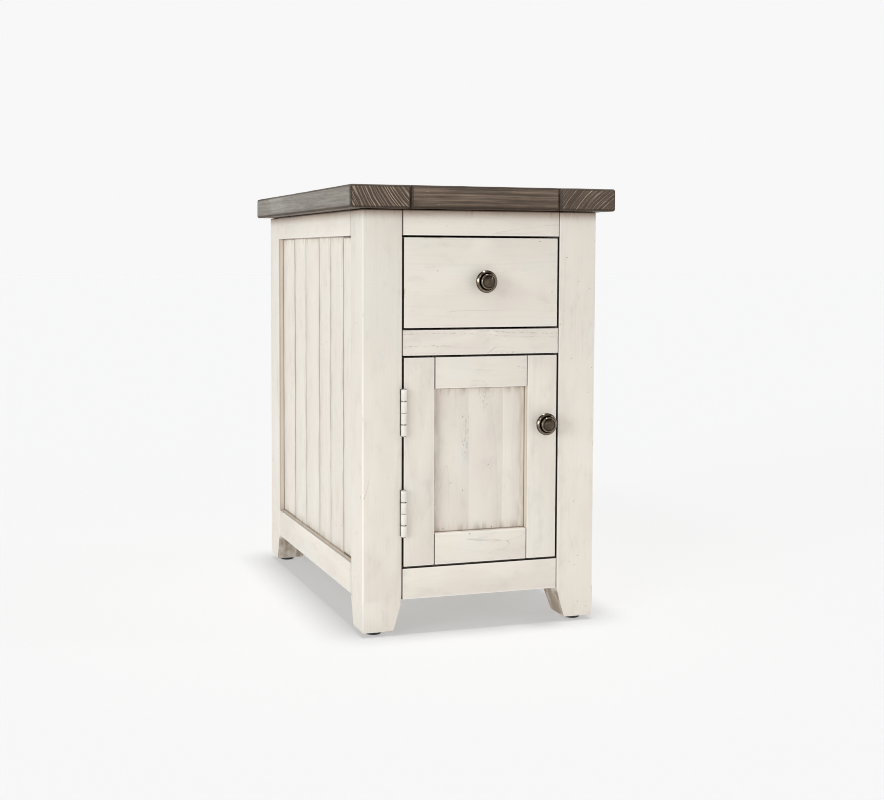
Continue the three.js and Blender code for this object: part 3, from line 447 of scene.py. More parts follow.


# %% [markdown]
# ## Whitewash paint
# The paint is brushed over an open grain, which shows as faint streaks and small broken dashes. Here
# and there a corner is rubbed through. It is satin, so it is neither flat nor shiny. One noise for
# everything would look like marble, so each kind of mark has its own noise at its own scale, and
# they are laid over each other in the order in which a finisher would make them.
# Over them come a painted highlight along the edges and painted shade under the top, on the inner
# slopes of the feet and in the gaps.

# %% Make the whitewash
def make_whitewash():
    paint = new_finish("whitewash")
    spot, half_size, luck, heart = board_marks(paint)

    patches = paint.noise(luck + spot * (14.0, 14.0, 7.0), 3.0, 0.55)
    smudges = paint.noise(luck * 1.3 + spot * (55.0, 55.0, 24.0), 4.0, 0.6)
    streaks = paint.noise(luck + spot * (420.0, 420.0, 11.0), 4.0, 0.6)
    hairs = paint.noise(luck + spot * (1500.0, 1500.0, 45.0), 2.0)
    ring, harvest = tree_rings(paint, spot, luck, heart, 0.0085, 0.034)
    late_wood = (paint.fade(ring, 0.55, 0.95) - paint.fade(ring, 0.95, 1.0)) * harvest

    colour = paint.mix(IVORY, ROSE_IVORY, paint.fade(patches, 0.46, 0.68) * 0.8)
    colour = paint.mix(colour, COOL_IVORY, paint.fade(patches, 0.48, 0.30) * 0.8)
    colour = colour * (1.03 - 0.06 * streaks)
    colour = colour * (1.0 - 0.075 * paint.fade(smudges, 0.52, 0.74))
    colour = colour * (1.0 - 0.045 * late_wood)

    # Open pores: short brown dashes that follow the rings and keep to some places on the board
    darkness, seam_width, openness = paint.split(paint.attribute("age"))
    pore_places = paint.noise(luck * 2.3 + spot * (20.0, 20.0, 8.0), 2.0)
    dashes = paint.noise(luck + spot * (950.0, 950.0, 190.0), 1.0)
    on_ring = paint.fade(ring, 0.50, 0.80) * (1.0 - paint.fade(ring, 0.90, 1.0))
    open_here = paint.fade(pore_places + 0.20 * openness, 0.66, 0.82)
    pores = paint.fade(dashes, 0.575, 0.63) * on_ring * open_here
    colour = paint.mix(colour, SPECK, pores * 0.42)

    # A few long fine scratches, across the grain as often as along it
    drift = paint.noise(luck * 1.1 + spot * (9.0, 9.0, 9.0), 2.0)
    strokes = abs(paint.noise(luck * 2.9 + spot * (30.0, 30.0, 5.0), 1.0, 0.5, 0.6) - 0.5)
    scratches = paint.fade(strokes, 0.0035, 0.0010) * paint.fade(drift, 0.56, 0.66)
    colour = paint.mix(colour, SPECK, scratches * 0.30)

    # Specks and little dents that keep the glaze, in loose clusters
    crumple = paint.noise(luck + spot * (700.0, 700.0, 500.0), 2.0)
    cells = luck + spot * (165.0, 165.0, 120.0) + crumple * (0.35, 0.35, 0.35)
    dots = paint.node("ShaderNodeTexVoronoi", sockets={"Vector": cells, "Scale": 1.0})
    dot_colours = Wire(paint, dots.socket.node.outputs["Color"])
    lot = paint.node("ShaderNodeSeparateColor", sockets={"Color": dot_colours})
    clusters = paint.noise(luck * 1.9 + spot * (17.0, 17.0, 13.0), 1.0)
    chosen = paint.fade(lot + 0.55 * clusters, 1.225, 1.245)
    specks = paint.fade(dots, 0.17, 0.06) * chosen
    colour = paint.mix(colour, SPECK, specks * 0.8)

    # Brown glaze left in the seams: a dark line where two boards meet, a warm tint in a corner
    to_seam = seam_distance(paint)
    distance = edge_distance(paint, spot, half_size)
    ragged = paint.noise(luck + spot * (150.0, 150.0, 20.0), 3.0)
    near_seam = paint.fade(to_seam, 0.016, 0.0) * paint.fade(ragged, 0.42, 0.66)
    is_thin = paint.fade(paint.split(half_size)[1], 0.008, 0.007)
    colour = paint.mix(colour, GLAZE_AND_SHADE_BROWN, near_seam * (0.08 + 0.28 * is_thin))
    colour = paint.mix(colour, WARM_TINT, paint.fade(to_seam, 0.0012, 0.0003) * 0.45)
    at_line = paint.fade(distance, 0.0042, 0.0026)
    in_seam = paint.fade(to_seam, seam_width, seam_width * 0.3) * darkness
    in_seam = in_seam * paint.most(at_line, is_thin)
    colour = paint.mix(colour, SEAM_LINE, in_seam)

    # Edges: a painted highlight along them, rubbed through in a few places
    painted_edge_highlight = paint.fade(distance, 0.0026, 0.0008) * (1.0 - in_seam) * (1.0 - 0.7 * is_thin)
    colour = paint.mix(colour, EDGE_HIGHLIGHT, painted_edge_highlight * 0.6)
    rub_places = paint.noise(luck * 3.1 + spot * (34.0, 34.0, 26.0), 3.0, 0.6)
    rubbed = paint.fade(distance, 0.0026, 0.0004) * paint.fade(rub_places, 0.62, 0.70)
    colour = paint.mix(colour, RUBBED, rubbed * 0.6)
    # Painted shade on the inner slopes of the feet, which face in under the cabinet
    painted_foot_shade = inner_foot(paint) * (0.26 + 0.55 * paint.fade(smudges, 0.36, 0.62))
    colour = paint.mix(colour, GLAZE_AND_SHADE_BROWN, painted_foot_shade)
    # Painted shade under the top, and a dark line along its joint
    dark_line, painted_shade_under_top = under_top(paint)
    colour = paint.mix(colour, UNDER_TOP_SHADE_BROWN, painted_shade_under_top)
    colour = paint.mix(colour, SEAM_LINE, dark_line)
    # Painted shade in the gaps round the drawer and door: their walls near the front are darkened
    # almost to black
    colour = paint.mix(colour, GAP_SHADE_DARK, painted_gap_shade(paint))

    height = 1.0 - 0.5 * pores - 0.8 * specks - 0.3 * scratches
    height = height - 0.12 * streaks - 0.05 * hairs - 0.05 * late_wood
    return paint.surface(
        Base_Color=colour,
        Roughness=0.46 + 0.16 * streaks,
        Normal=paint.bump(height, 0.00030),
    )


whitewash = make_whitewash()

# %% [markdown]
# ## Weathered brown top
# The top is stained grey-brown and wire brushed, which takes out the soft part of each ring and
# leaves ridges. On the ends of the side boards the rings are cut across and show as pale curved
# lines. The ridges could be cut in the mesh, but they are finer than any mesh worth carrying, so the
# same rings give both the colour and the bump. A satin lacquer over it mirrors the pale studio.
# The two long side boards also carry a painted grey sheen, partly weathering, that stands in for this
# reflection on their sides.

# %% Make the weathered stain
DARK_STAIN = (0.030, 0.019, 0.013)
BROWN_STAIN = (0.092, 0.058, 0.038)
PALE_STAIN = (0.215, 0.148, 0.100)
GREY_STAIN = (0.150, 0.128, 0.104)
# Painted grey sheen, partly weathering, for the side boards: its light and dark tones
SILVER_SHEEN_LIGHT = (0.345, 0.330, 0.288)
SILVER_SHEEN_DARK = (0.200, 0.178, 0.145)
RING_LINE = (0.440, 0.340, 0.250)
CHIPPED = (0.520, 0.435, 0.340)
END_DARK = (0.034, 0.022, 0.015)
END_PALE = (0.130, 0.092, 0.066)


def make_weathered_stain():
    stain = new_finish("weathered_stain")
    spot, half_size, luck, heart = board_marks(stain)

    z = stain.split(stain.node("ShaderNodeTexCoord", output="Object"))[2]
    ring, harvest = tree_rings(stain, spot, luck, heart, 0.0038, 0.010)
    line = stain.fade(ring, 0.48, 0.78) - stain.fade(ring, 0.88, 0.98)
    streaks = stain.noise(luck + spot * (230.0, 230.0, 5.0), 5.0, 0.62)
    hairs = stain.noise(luck + spot * (1100.0, 1100.0, 28.0), 3.0, 0.6)
    patches = stain.noise(luck + spot * (26.0, 26.0, 7.0), 3.0)
    weathering = stain.noise(luck * 1.9 + spot * (15.0, 15.0, 5.0), 3.0)

    facing = stain.node("ShaderNodeNewGeometry", output="Normal")
    is_upper = stain.fade(stain.split(facing)[2], 0.5, 0.9)
    tone = 0.45 * streaks + 0.25 * hairs + 0.30 * patches
    colour = stain.ramp(tone, (0.39, DARK_STAIN), (0.50, BROWN_STAIN), (0.61, PALE_STAIN))
    colour = stain.mix(colour, GREY_STAIN, is_upper * stain.fade(weathering, 0.40, 0.64) * 0.5)
    colour = stain.mix(colour, DARK_STAIN, line * 0.35)
    # A painted grey sheen on the side boards, partly weathering, stands in for the lacquer's
    # reflection; weaker on upper faces and near the lower edge
    silver_sheen_tone = stain.fade(0.6 * streaks + 0.4 * hairs, 0.36, 0.62)
    silver_sheen = stain.mix(SILVER_SHEEN_DARK, SILVER_SHEEN_LIGHT, silver_sheen_tone)
    lower_edge = stain.fade(z, UNDER_TOP + 0.010, UNDER_TOP + 0.001)
    silver_sheen_amount = stain.most(stain.fade(weathering, 0.42, 0.68), 0.7) * stain.split(heart)[2]
    silver_sheen_amount = silver_sheen_amount * (1.0 - 0.6 * is_upper)
    colour = stain.mix(colour, silver_sheen, silver_sheen_amount * (1.0 - 0.6 * lower_edge))

    # The end of a board, where the rings are cut across
    across, through, along = stain.split(half_size - abs(spot))
    is_end = stain.fade(along, 0.0014, 0.0005)
    pith = stain.noise(luck + spot * (700.0, 700.0, 40.0), 3.0)
    end_dark = stain.mix(END_DARK, END_PALE, pith)
    contrast = stain.split(stain.attribute("age"))[0]
    strength = (0.15 + 0.85 * harvest) * (0.4 + 0.6 * stain.fade(patches, 0.35, 0.6)) * contrast
    end_colour = stain.mix(end_dark, RING_LINE, line * strength * (0.35 + pith * 1.1))
    colour = stain.mix(colour, end_colour, is_end)

    # Edges are worn pale in places and chipped in a few
    distance = edge_distance(stain, spot, half_size)
    rub_places = stain.noise(luck + spot * (40.0, 40.0, 14.0), 3.0, 0.6)
    worn = stain.fade(distance, 0.0045, 0.0018) * stain.fade(rub_places, 0.46, 0.68)
    colour = stain.mix(colour, PALE_STAIN, worn * 0.35)
    chip_places = stain.noise(luck * 2.7 + spot * (260.0, 260.0, 75.0), 1.0)
    near_edge = stain.fade(distance, 0.012, 0.002)
    chips = stain.fade(chip_places, 0.745, 0.775) * near_edge
    colour = stain.mix(colour, CHIPPED, chips * 0.75)
    # Painted shade: the rounded rim of every board is darkened, as an eased edge in shade looks
    painted_rim_shade = stain.fade(distance, 0.0040, 0.0028)
    colour = stain.mix(colour, DARK_STAIN, painted_rim_shade * 0.7)

    height = 1.0 - 0.45 * line - 0.35 * streaks - 0.15 * hairs - 0.8 * chips
    return stain.surface(
        Base_Color=colour,
        Roughness=0.38 + 0.22 * streaks + 0.2 * is_end + 0.25 * painted_rim_shade,
        Specular_IOR_Level=0.27,
        Normal=stain.bump(height, 0.00045),
    )


weathered_stain = make_weathered_stain()

# %% [markdown]
# ## Plain wood
# Inside, where nobody looks, the wood is only planed: the drawer box, the boards that carry the
# slides and the blocks under the floor. It is pale sapwood with darker late rings and a planed sheen.
# The rule for rings is used again, with wider years than in the top.

# %% Make the plain wood
SAPWOOD_DARK = (0.56, 0.395, 0.235)
SAPWOOD_PALE = (0.70, 0.525, 0.335)
LATE_WOOD = (0.45, 0.275, 0.140)
TAN_PATCH = (0.60, 0.415, 0.245)
FIBRE = (0.36, 0.23, 0.13)
HANDLED_EDGE = (0.40, 0.27, 0.16)


def make_plain_wood():
    wood = new_finish("plain_wood")
    spot, half_size, luck, heart = board_marks(wood)
    ring, harvest = tree_rings(wood, spot, luck, heart, 0.0055, 0.040)
    late_wood = (wood.fade(ring, 0.45, 0.93) - wood.fade(ring, 0.93, 1.0)) * (0.4 + 0.6 * harvest)
    streaks = wood.noise(luck + spot * (500.0, 500.0, 12.0), 4.0, 0.6)
    hairs = wood.noise(luck + spot * (1700.0, 1700.0, 60.0), 2.0)
    patches = wood.noise(luck + spot * (11.0, 11.0, 4.0), 2.0)
    colour = wood.ramp(streaks, (0.30, SAPWOOD_DARK), (0.70, SAPWOOD_PALE))
    colour = wood.mix(colour, LATE_WOOD, late_wood * 0.50)
    colour = wood.mix(colour, TAN_PATCH, wood.fade(patches, 0.45, 0.7) * 0.5)
    colour = wood.mix(colour, FIBRE, wood.fade(hairs, 0.62, 0.75) * 0.35)
    distance = edge_distance(wood, spot, half_size)
    colour = wood.mix(colour, HANDLED_EDGE, wood.fade(distance, 0.0012, 0.0002) * 0.35)
    height = 1.0 - 0.4 * late_wood - 0.3 * streaks - 0.2 * hairs
    return wood.surface(
        Base_Color=colour, Roughness=0.55 + 0.2 * streaks, Normal=wood.bump(height, 0.00018)
    )


plain_wood = make_plain_wood()

# %% [markdown]
# ## Bronze
# The knobs are dark bronze that hands have rubbed lighter on the rims, with dirt left in the hollows.
# Noise could scatter the wear anywhere, but real wear sits on what stands out. The finish therefore
# reads numbers that the knob's own corners carry.

# %% Make the bronze
DARK_BRONZE = (0.075, 0.057, 0.040)
WARM_BRONZE = (0.135, 0.105, 0.076)
RUBBED_BRONZE = (0.38, 0.31, 0.23)
HOLLOW_DIRT = (0.014, 0.010, 0.007)


def object_place(finish, scale):
    return finish.node("ShaderNodeTexCoord", output="Object") * (scale, scale, scale)


def make_bronze():
    bronze = new_finish("rubbed_bronze")
    rubbed, hollow, _ = bronze.split(bronze.attribute("rim"))
    clouds = bronze.noise(object_place(bronze, 260.0), 3.0)
    grit = bronze.noise(object_place(bronze, 1800.0), 2.0)
    colour = bronze.mix(DARK_BRONZE, WARM_BRONZE, bronze.fade(clouds, 0.35, 0.7))
    wear = rubbed * bronze.fade(grit + clouds, 0.65, 1.1)
    colour = bronze.mix(colour, RUBBED_BRONZE, wear * 0.8)
    colour = bronze.mix(colour, HOLLOW_DIRT, hollow * 0.9)
    return bronze.surface(
        Base_Color=colour,
        Metallic=1.0,
        Roughness=0.13 + 0.12 * clouds,
        Normal=bronze.bump(grit, 0.00001),
    )


antique_bronze = make_bronze()

# %% [markdown]
# ## Painted steel
# The hinges are steel under the same ivory paint, with a few chips. The slits between the knuckles
# lie in shade, and that shade is painted in. Those slits are level cuts, so every face that looks up
# or down is painted almost black, which needs no marks on the mesh.

# %% Make the painted steel
STEEL_IVORY = (0.80, 0.762, 0.69)
STEEL_CREAM = (0.74, 0.70, 0.625)
STEEL_CHIP = (0.26, 0.20, 0.15)
# Painted shade for the slits between the knuckles
SLIT_SHADE_DARK = (0.03, 0.020, 0.014)


def make_painted_steel():
    paint = new_finish("painted_steel")
    clouds = paint.noise(object_place(paint, 120.0), 3.0)
    grit = paint.noise(object_place(paint, 1400.0), 2.0)
    colour = paint.mix(STEEL_IVORY, STEEL_CREAM, paint.fade(clouds, 0.4, 0.7))
    chips = paint.fade(grit * 0.6 + clouds * 0.4, 0.66, 0.70)
    colour = paint.mix(colour, STEEL_CHIP, chips * 0.8)
    # Painted shade in the slits: faces that look up or down are painted almost black
    normal = paint.node("ShaderNodeNewGeometry", output="Normal")
    ends = paint.fade(abs(paint.split(normal)[2]), 0.60, 0.90)
    colour = paint.mix(colour, SLIT_SHADE_DARK, ends * 0.95)
    return paint.surface(
        Base_Color=colour, Roughness=0.38 + 0.2 * clouds, Normal=paint.bump(grit, 0.00006)
    )


painted_steel = make_painted_steel()

# %% [markdown]
# ## Zinc and plastics
# The slides and screws are zinc plated, with a fine grain brushed along the slide and a few dull
# spots. A noise stretched one way gives that grain. The glides, the catch and its magnet share one
# recipe, a fine moulded texture under a soft shine, and differ only in colour.

# %% Make the zinc and the plastics
ZINC_PALE = (0.56, 0.565, 0.565)
ZINC_GREY = (0.49, 0.497, 0.505)
ZINC_DULL = (0.36, 0.36, 0.37)


def make_zinc():
    zinc = new_finish("zinc_plate")
    clouds = zinc.noise(object_place(zinc, 70.0), 3.0)
    place = zinc.node("ShaderNodeTexCoord", output="Object")
    brushed = zinc.noise(place * (1500.0, 22.0, 1500.0), 3.0)
    spots = zinc.noise(object_place(zinc, 650.0), 1.0)
    colour = zinc.mix(ZINC_PALE, ZINC_GREY, zinc.fade(clouds, 0.38, 0.66))
    colour = colour * (1.06 - 0.14 * brushed)
    colour = zinc.mix(colour, ZINC_DULL, zinc.fade(spots, 0.68, 0.74) * 0.4)
    return zinc.surface(
        Base_Color=colour,
        Metallic=1.0,
        Roughness=0.28 + 0.12 * brushed + 0.05 * clouds,
        Normal=zinc.bump(brushed, 0.00003),
    )


def make_plastic(name, light, dark, shine):
    plastic = new_finish(name)
    grit = plastic.noise(object_place(plastic, 1600.0), 2.0)
    clouds = plastic.noise(object_place(plastic, 90.0), 2.0)
    colour = plastic.mix(dark, light, plastic.fade(clouds, 0.3, 0.7))
    return plastic.surface(
        Base_Color=colour, Roughness=shine + 0.15 * grit, Normal=plastic.bump(grit, 0.00008)
    )


zinc_plate = make_zinc()
black_plastic = make_plastic("glide_plastic", (0.030, 0.030, 0.032), (0.016, 0.016, 0.017), 0.42)
brown_plastic = make_plastic("catch_shell", (0.115, 0.070, 0.045), (0.080, 0.047, 0.030), 0.36)
magnet_black = make_plastic("magnet_black", (0.060, 0.060, 0.062), (0.038, 0.038, 0.040), 0.50)

# %% [markdown]
# ## Working at the bench
# Two habits serve every piece. A blank is a block between two corners. Before an operator is used,
# the edges or faces it acts on are selected by their place or direction, as a hand would click them.

# %% Blanks and selections
def cut_blank(name, low, high):
    """A sharp block between two corners."""
    bpy.ops.object.select_all(action="DESELECT")
    bpy.ops.mesh.primitive_cube_add(size=1, location=(low + high) / 2, scale=high - low)
    blank = bpy.context.object
    blank.name = name
    blank.data.name = name
    bpy.ops.object.transform_apply(location=True, rotation=True, scale=True)
    return blank


def open_piece(piece):
    """Goes into edit mode on one piece, with nothing in it selected."""
    bpy.ops.object.select_all(action="DESELECT")
    piece.select_set(True)
    bpy.context.view_layer.objects.active = piece
    bpy.ops.object.mode_set(mode="EDIT")
    bpy.ops.mesh.select_mode(type="EDGE")
    bpy.ops.mesh.select_all(action="DESELECT")


def close_piece():
    bpy.ops.object.mode_set(mode="OBJECT")


def choose(piece, kind, wanted):
    """In edit mode, selects the verts, edges or faces for which wanted says yes."""
    bpy.ops.mesh.select_mode(type={"verts": "VERT", "edges": "EDGE", "faces": "FACE"}[kind])
    bpy.ops.mesh.select_all(action="DESELECT")
    shape = bmesh.from_edit_mesh(piece.data)
    shape.normal_update()
    for part in getattr(shape, kind):
        if wanted(part):
            part.select_set(True)
    bmesh.update_edit_mesh(piece.data)


def is_sharp(edge):
    return edge.calc_face_angle(0) > math.radians(40)


def ease_edges(piece, size, segments=2, wanted=is_sharp):
    """Rounds the edges of a piece, as a plane and sandpaper would."""
    open_piece(piece)
    choose(piece, "edges", wanted)
    bpy.ops.mesh.bevel(offset=size, segments=segments, affect="EDGES", clamp_overlap=True)
    close_piece()

# %% [markdown]
# Panels sit in grooves and hinges in mortises. A groove could be milled edge by edge, but taking the
# shape of a cutter out of the board is one step and always fits, because the cutter is made from the
# box of the piece that goes in.

# %% Cutters and grooves
def cut_away(piece, cutters):
    """Cuts the shapes of the cutters out of a piece and throws the cutters away."""
    for cutter in cutters:
        tool = piece.modifiers.new("cut", "BOOLEAN")
        tool.operation = "DIFFERENCE"
        tool.solver = "EXACT"
        tool.object = cutter
        bpy.context.view_layer.objects.active = piece
        bpy.ops.object.modifier_apply(modifier=tool.name)
        bpy.data.objects.remove(cutter)


def groove_for(node, slack=0.3 * MM):
    """A cutter for the groove that a panel's edge sits in, a little wider than the panel."""
    low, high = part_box(node)
    room = Vector((slack,) * 3)
    return cut_blank("groove", low - room, high + room)


# %% [markdown]
# The finishes ask where a point lies on its board, so each finished board is marked: every corner of
# its mesh gets its place on the board, the distances to the sides where other boards meet it, and the
# heart of the tree that it was sawn from. An unwrapped image would need a seam somewhere. Numbers on
# the corners need none. The luck of each board comes from one seeded die, so a rerun repeats it.

# %% Marks for the grain
X, Y, Z = 0, 1, 2
SIDES = (("left", "right"), ("front", "back"), ("bottom", "top"))
NO_SEAM = 9.0
FINE_SEAM = (0.90, 1.5 * MM, 0.0)
SOFT_SEAM = (0.45, 1.5 * MM, 0.0)
luck_of_boards = random.Random(7)


def mark_grain(
    piece, low, high, along, seams=(), age=FINE_SEAM, heart=None, seam_box=None, silver_sheen=0.2
):
    """Writes on every corner where it lies on its board. The grain runs along one axis. Seams names
    the sides that meet another board. Age is how dark and how wide the seams are and how open the
    grain is. Silver sheen is how strongly the stain paints a grey sheen, partly weathering and partly a
    painted reflection, on the board."""
    sides = [axis for axis in range(3) if axis != along]
    sides.sort(key=lambda axis: low[axis] - high[axis])
    order = (sides[0], sides[1], along)
    middle = (low + high) / 2
    half = [(high[axis] - low[axis]) / 2 for axis in order]
    seam_low, seam_high = seam_box or (low, high)
    luck = [luck_of_boards.uniform(0, 40) for _ in range(3)]
    if heart is None:
        side = luck_of_boards.choice((-1, 1))
        heart = (luck_of_boards.uniform(-0.03, 0.03), side * luck_of_boards.uniform(0.035, 0.09))
    corners = piece.data.vertices
    marks = {
        "spot": [v.co[axis] - middle[axis] for v in corners for axis in order],
        "half_size": half * len(corners),
        "seam_low": [
            v.co[axis] - seam_low[axis] if SIDES[axis][0] in seams else NO_SEAM
            for v in corners
            for axis in range(3)
        ],
        "seam_high": [
            seam_high[axis] - v.co[axis] if SIDES[axis][1] in seams else NO_SEAM
            for v in corners
            for axis in range(3)
        ],
        "luck": luck * len(corners),
        "heart": [heart[0], heart[1], silver_sheen] * len(corners),
        "age": list(age) * len(corners),
    }
    for name, values in marks.items():
        attribute = piece.data.attributes.new(name, "FLOAT_VECTOR", "POINT")
        attribute.data.foreach_set("vector", values)


# %% [markdown]
# A finished piece is dressed: its flat faces stay crisp and its rounded edges are shaded smooth, it
# gets its finish, and it is tied to the moving body of the CAD piece that it stands for.

# %% Dress a piece
SMOOTH_BELOW = math.radians(32)


def dress(piece, finish, node, stands_for=True):
    """Shades a piece, gives it its finish and ties it to the body of a CAD piece."""
    bpy.ops.object.select_all(action="DESELECT")
    piece.select_set(True)
    bpy.context.view_layer.objects.active = piece
    bpy.ops.object.shade_smooth_by_angle(angle=SMOOTH_BELOW)
    piece.data.materials.clear()
    piece.data.materials.append(finish)
    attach(piece, frame["nodes"][node]["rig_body"])
    if stands_for:
        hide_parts(node)
    return piece


# %% [markdown]
# ## The plank top
# A long board runs down each side, a board closes each end between them, and planks fill the middle.
# Old planks are never quite flat. They could be dented by hand with a sculpting brush, but that can't
# be repeated. Instead each board is divided into small squares, its edges are rounded, and a soft
# texture pushes its surface in by less than a millimetre, never out, so that the top keeps its size.

# %% Plane and wear a board of the top
GRID = 0.014
RIM_ROUND = 3.8 * MM
ARRIS = 1.0 * MM
WEAR_DEPTH = 0.9 * MM
STRONG_SILVER_SHEEN = 0.92
FAINT_SILVER_SHEEN = 0.12


def divide(piece, axis, step):
    """Divides the long edges of a blank that run along an axis into steps of about that size."""
    length = piece.dimensions[axis]
    cuts = max(int(length / step) - 1, 1)

    def runs_along(edge):
        run = edge.verts[1].co - edge.verts[0].co
        return abs(run[axis]) > 0.9 * run.length

    choose(piece, "edges", runs_along)
    bpy.ops.mesh.subdivide(number_cuts=cuts)


top_wear = bpy.data.textures.new("hand wear", "CLOUDS")
top_wear.noise_scale = 0.022
top_wear.noise_depth = 2
slab_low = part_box("top_board_left")[0]
slab_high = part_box("top_board_right")[1]
print("the top is", [round(size, 3) for size in slab_high - slab_low], "m")


def on_rim(edge):
    """Whether an edge lies on the outside of the whole top."""
    middle = (edge.verts[0].co + edge.verts[1].co) / 2
    gaps = [min(middle[axis] - slab_low[axis], slab_high[axis] - middle[axis]) for axis in (X, Y)]
    return is_sharp(edge) and min(gaps) < 0.05 * MM


def top_board(name, low, high, along, heart=None, contrast=1.0):
    board = cut_blank(name, low, high)
    open_piece(board)
    divide(board, along, GRID)
    divide(board, Y if along == X else X, GRID)
    close_piece()
    ease_edges(board, RIM_ROUND, 4, on_rim)
    ease_edges(board, ARRIS)
    wear = board.modifiers.new("wear", "DISPLACE")
    wear.texture = top_wear
    wear.texture_coords = "LOCAL"
    wear.mid_level = 1.0
    wear.strength = WEAR_DEPTH
    bpy.ops.object.modifier_apply(modifier=wear.name)
    # The two side boards, whose hearts are given, get a strong painted sheen, partly weathering
    silver_sheen = STRONG_SILVER_SHEEN if heart else FAINT_SILVER_SHEEN
    mark_grain(board, low, high, along, (), (contrast, 0, 0), heart, silver_sheen=silver_sheen)
    return board


# %% [markdown]
# The end grain of the two side boards shows at the front, so the heart of each tree is placed on
# purpose: the arcs rise one way on the left and the other way on the right. Every other board takes
# its heart from the die. The middle planks are one solid in the CAD model, and here each is its own.

# %% Lay the boards of the top
HEARTS = {"top_board_left": (0.124, 0.080), "top_board_right": (0.132, -0.125)}
CONTRAST = {"top_board_left": 1.7, "top_board_right": 1.0}
for node in ("top_board_left", "top_board_right", "top_board_front", "top_board_back"):
    low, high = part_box(node)
    grain = Y if "left" in node or "right" in node else X
    name = node.replace("_board", "") + "_plank"
    board = top_board(name, low, high, grain, HEARTS.get(node), CONTRAST.get(node, 1.0))
    dress(board, weathered_stain, node)

low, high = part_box("top_center_planks")
MIDDLE_PLANKS = 3
SEAM = 0.3 * MM
plank_width = (high.x - low.x) / MIDDLE_PLANKS
for number in range(MIDDLE_PLANKS):
    left = Vector((low.x + number * plank_width + (SEAM / 2 if number else 0), low.y, low.z))
    last = number == MIDDLE_PLANKS - 1
    right = Vector((low.x + (number + 1) * plank_width - (0 if last else SEAM / 2), high.y, high.z))
    board = top_board(f"top_middle_plank_{number + 1}", left, right, Y)
    dress(board, weathered_stain, "top_center_planks")
print("top planks:", 4 + MIDDLE_PLANKS, "board corners:", len(board.data.vertices))

# %% [markdown]
# ## Posts
# Each post is one square stick. Below the rails its two inner faces slope in to a smaller foot, and
# the slope starts with a soft curve. The slopes could be sawn off with two cutters. Scaling is less
# work: a blank is cut through where the taper starts, its bottom is scaled about the outer corner,
# which leaves both outer faces straight, and the bend is rounded.

# %% Shape a post
FOOT = Vector((45 * MM, 46 * MM, 0))
TAPER_BEND = 11 * MM
FOOT_EDGE = 3.4 * MM
POST_EDGE = 2.2 * MM


def make_post(node):
    low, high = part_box(node)
    post = cut_blank(node.replace("leg", "post"), low, high)
    outer_x = low.x if low.x < 0 else high.x
    outer_y = low.y if low.y < 0 else high.y
    slimmer = (FOOT.x / (high.x - low.x), FOOT.y / (high.y - low.y), 1)

    def at_the_floor(edge):
        return is_sharp(edge) and max(corner.co.z for corner in edge.verts) < low.z + MM

    def above_the_taper(edge):
        return is_sharp(edge) and max(corner.co.z for corner in edge.verts) > TAPER_START

    open_piece(post)
    bpy.ops.mesh.select_all(action="SELECT")
    bpy.ops.mesh.bisect(plane_co=(0, 0, TAPER_START), plane_no=(0, 0, 1))
    choose(post, "verts", lambda corner: corner.co.z < low.z + MM)
    bpy.ops.transform.resize(value=slimmer, center_override=(outer_x, outer_y, low.z))
    choose(post, "edges", lambda edge: 0.1 < edge.calc_face_angle(0) < 0.8)
    bpy.ops.mesh.bevel(offset=TAPER_BEND, segments=5, affect="EDGES")
    close_piece()
    ease_edges(post, FOOT_EDGE, 3, at_the_floor)
    ease_edges(post, POST_EDGE, 3, above_the_taper)
    return post


for node in [name for name in frame["nodes"] if name.startswith("leg_")]:
    low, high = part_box(node)
    post = make_post(node)
    side = "left" if low.x < 0 else "right"
    grooves = [groove_for(f"side_planks_{side}")]
    if "back" in node:
        grooves.append(groove_for("back_panel"))
    if node == "leg_front_left":
        grooves += [groove_for(f"hinge_{level}_frame_leaf") for level in ("lower", "upper")]
    cut_away(post, grooves)
    inner = ("right" if side == "left" else "left", "back" if "front" in node else "front", "top")
    mark_grain(post, low, high, Z, inner, (0.35, 1.5 * MM, 0.0))
    dress(post, whitewash, node)
    print(post.name, "faces:", len(post.data.polygons))

# %% [markdown]
# ## Rails
# Rails join the posts at the front, the sides and the back. They are plain boards whose edges have
# been eased with a plane. Nine rails alike ask for one function, with a board's name, grain and
# seams as its inputs. Their ends meet the posts, and that seam keeps a little brown glaze. The side
# and back rails have a groove for the panels.

# %% Make the rails
def painted_board(name, node, along, ease=1.0, seams=(), panels=(), age=FINE_SEAM):
    low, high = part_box(node)
    board = cut_blank(name, low, high)
    ease_edges(board, ease * MM)
    cut_away(board, [groove_for(panel) for panel in panels])
    mark_grain(board, low, high, along, seams, age)
    return dress(board, whitewash, node)


OPEN_GRAIN = 1.7
CLOSED_GRAIN = 0.1
for level in ("top", "middle", "bottom"):
    ends = ("left", "right", "top") if level == "top" else ("left", "right")
    age = (0.90, 1.6 * MM, OPEN_GRAIN if level == "middle" else CLOSED_GRAIN)
    painted_board(f"front_{level}_rail", f"front_rail_{level}", X, 1.2, ends, age=age)
for level in ("top", "bottom"):
    ends = ("left", "right", "top" if level == "top" else "")
    name, node = f"back_{level}_rail", f"back_rail_{level}"
    painted_board(name, node, X, 1.0, ends, ("back_panel",), SOFT_SEAM)
    for side in ("left", "right"):
        name, node = f"side_{level}_rail_{side}", f"side_rail_{level}_{side}"
        housed = (f"side_planks_{side}",)
        rail = painted_board(name, node, Y, 1.0, ("front", "back", "top"), housed, SOFT_SEAM)
print("faces of the last rail:", len(rail.data.polygons))

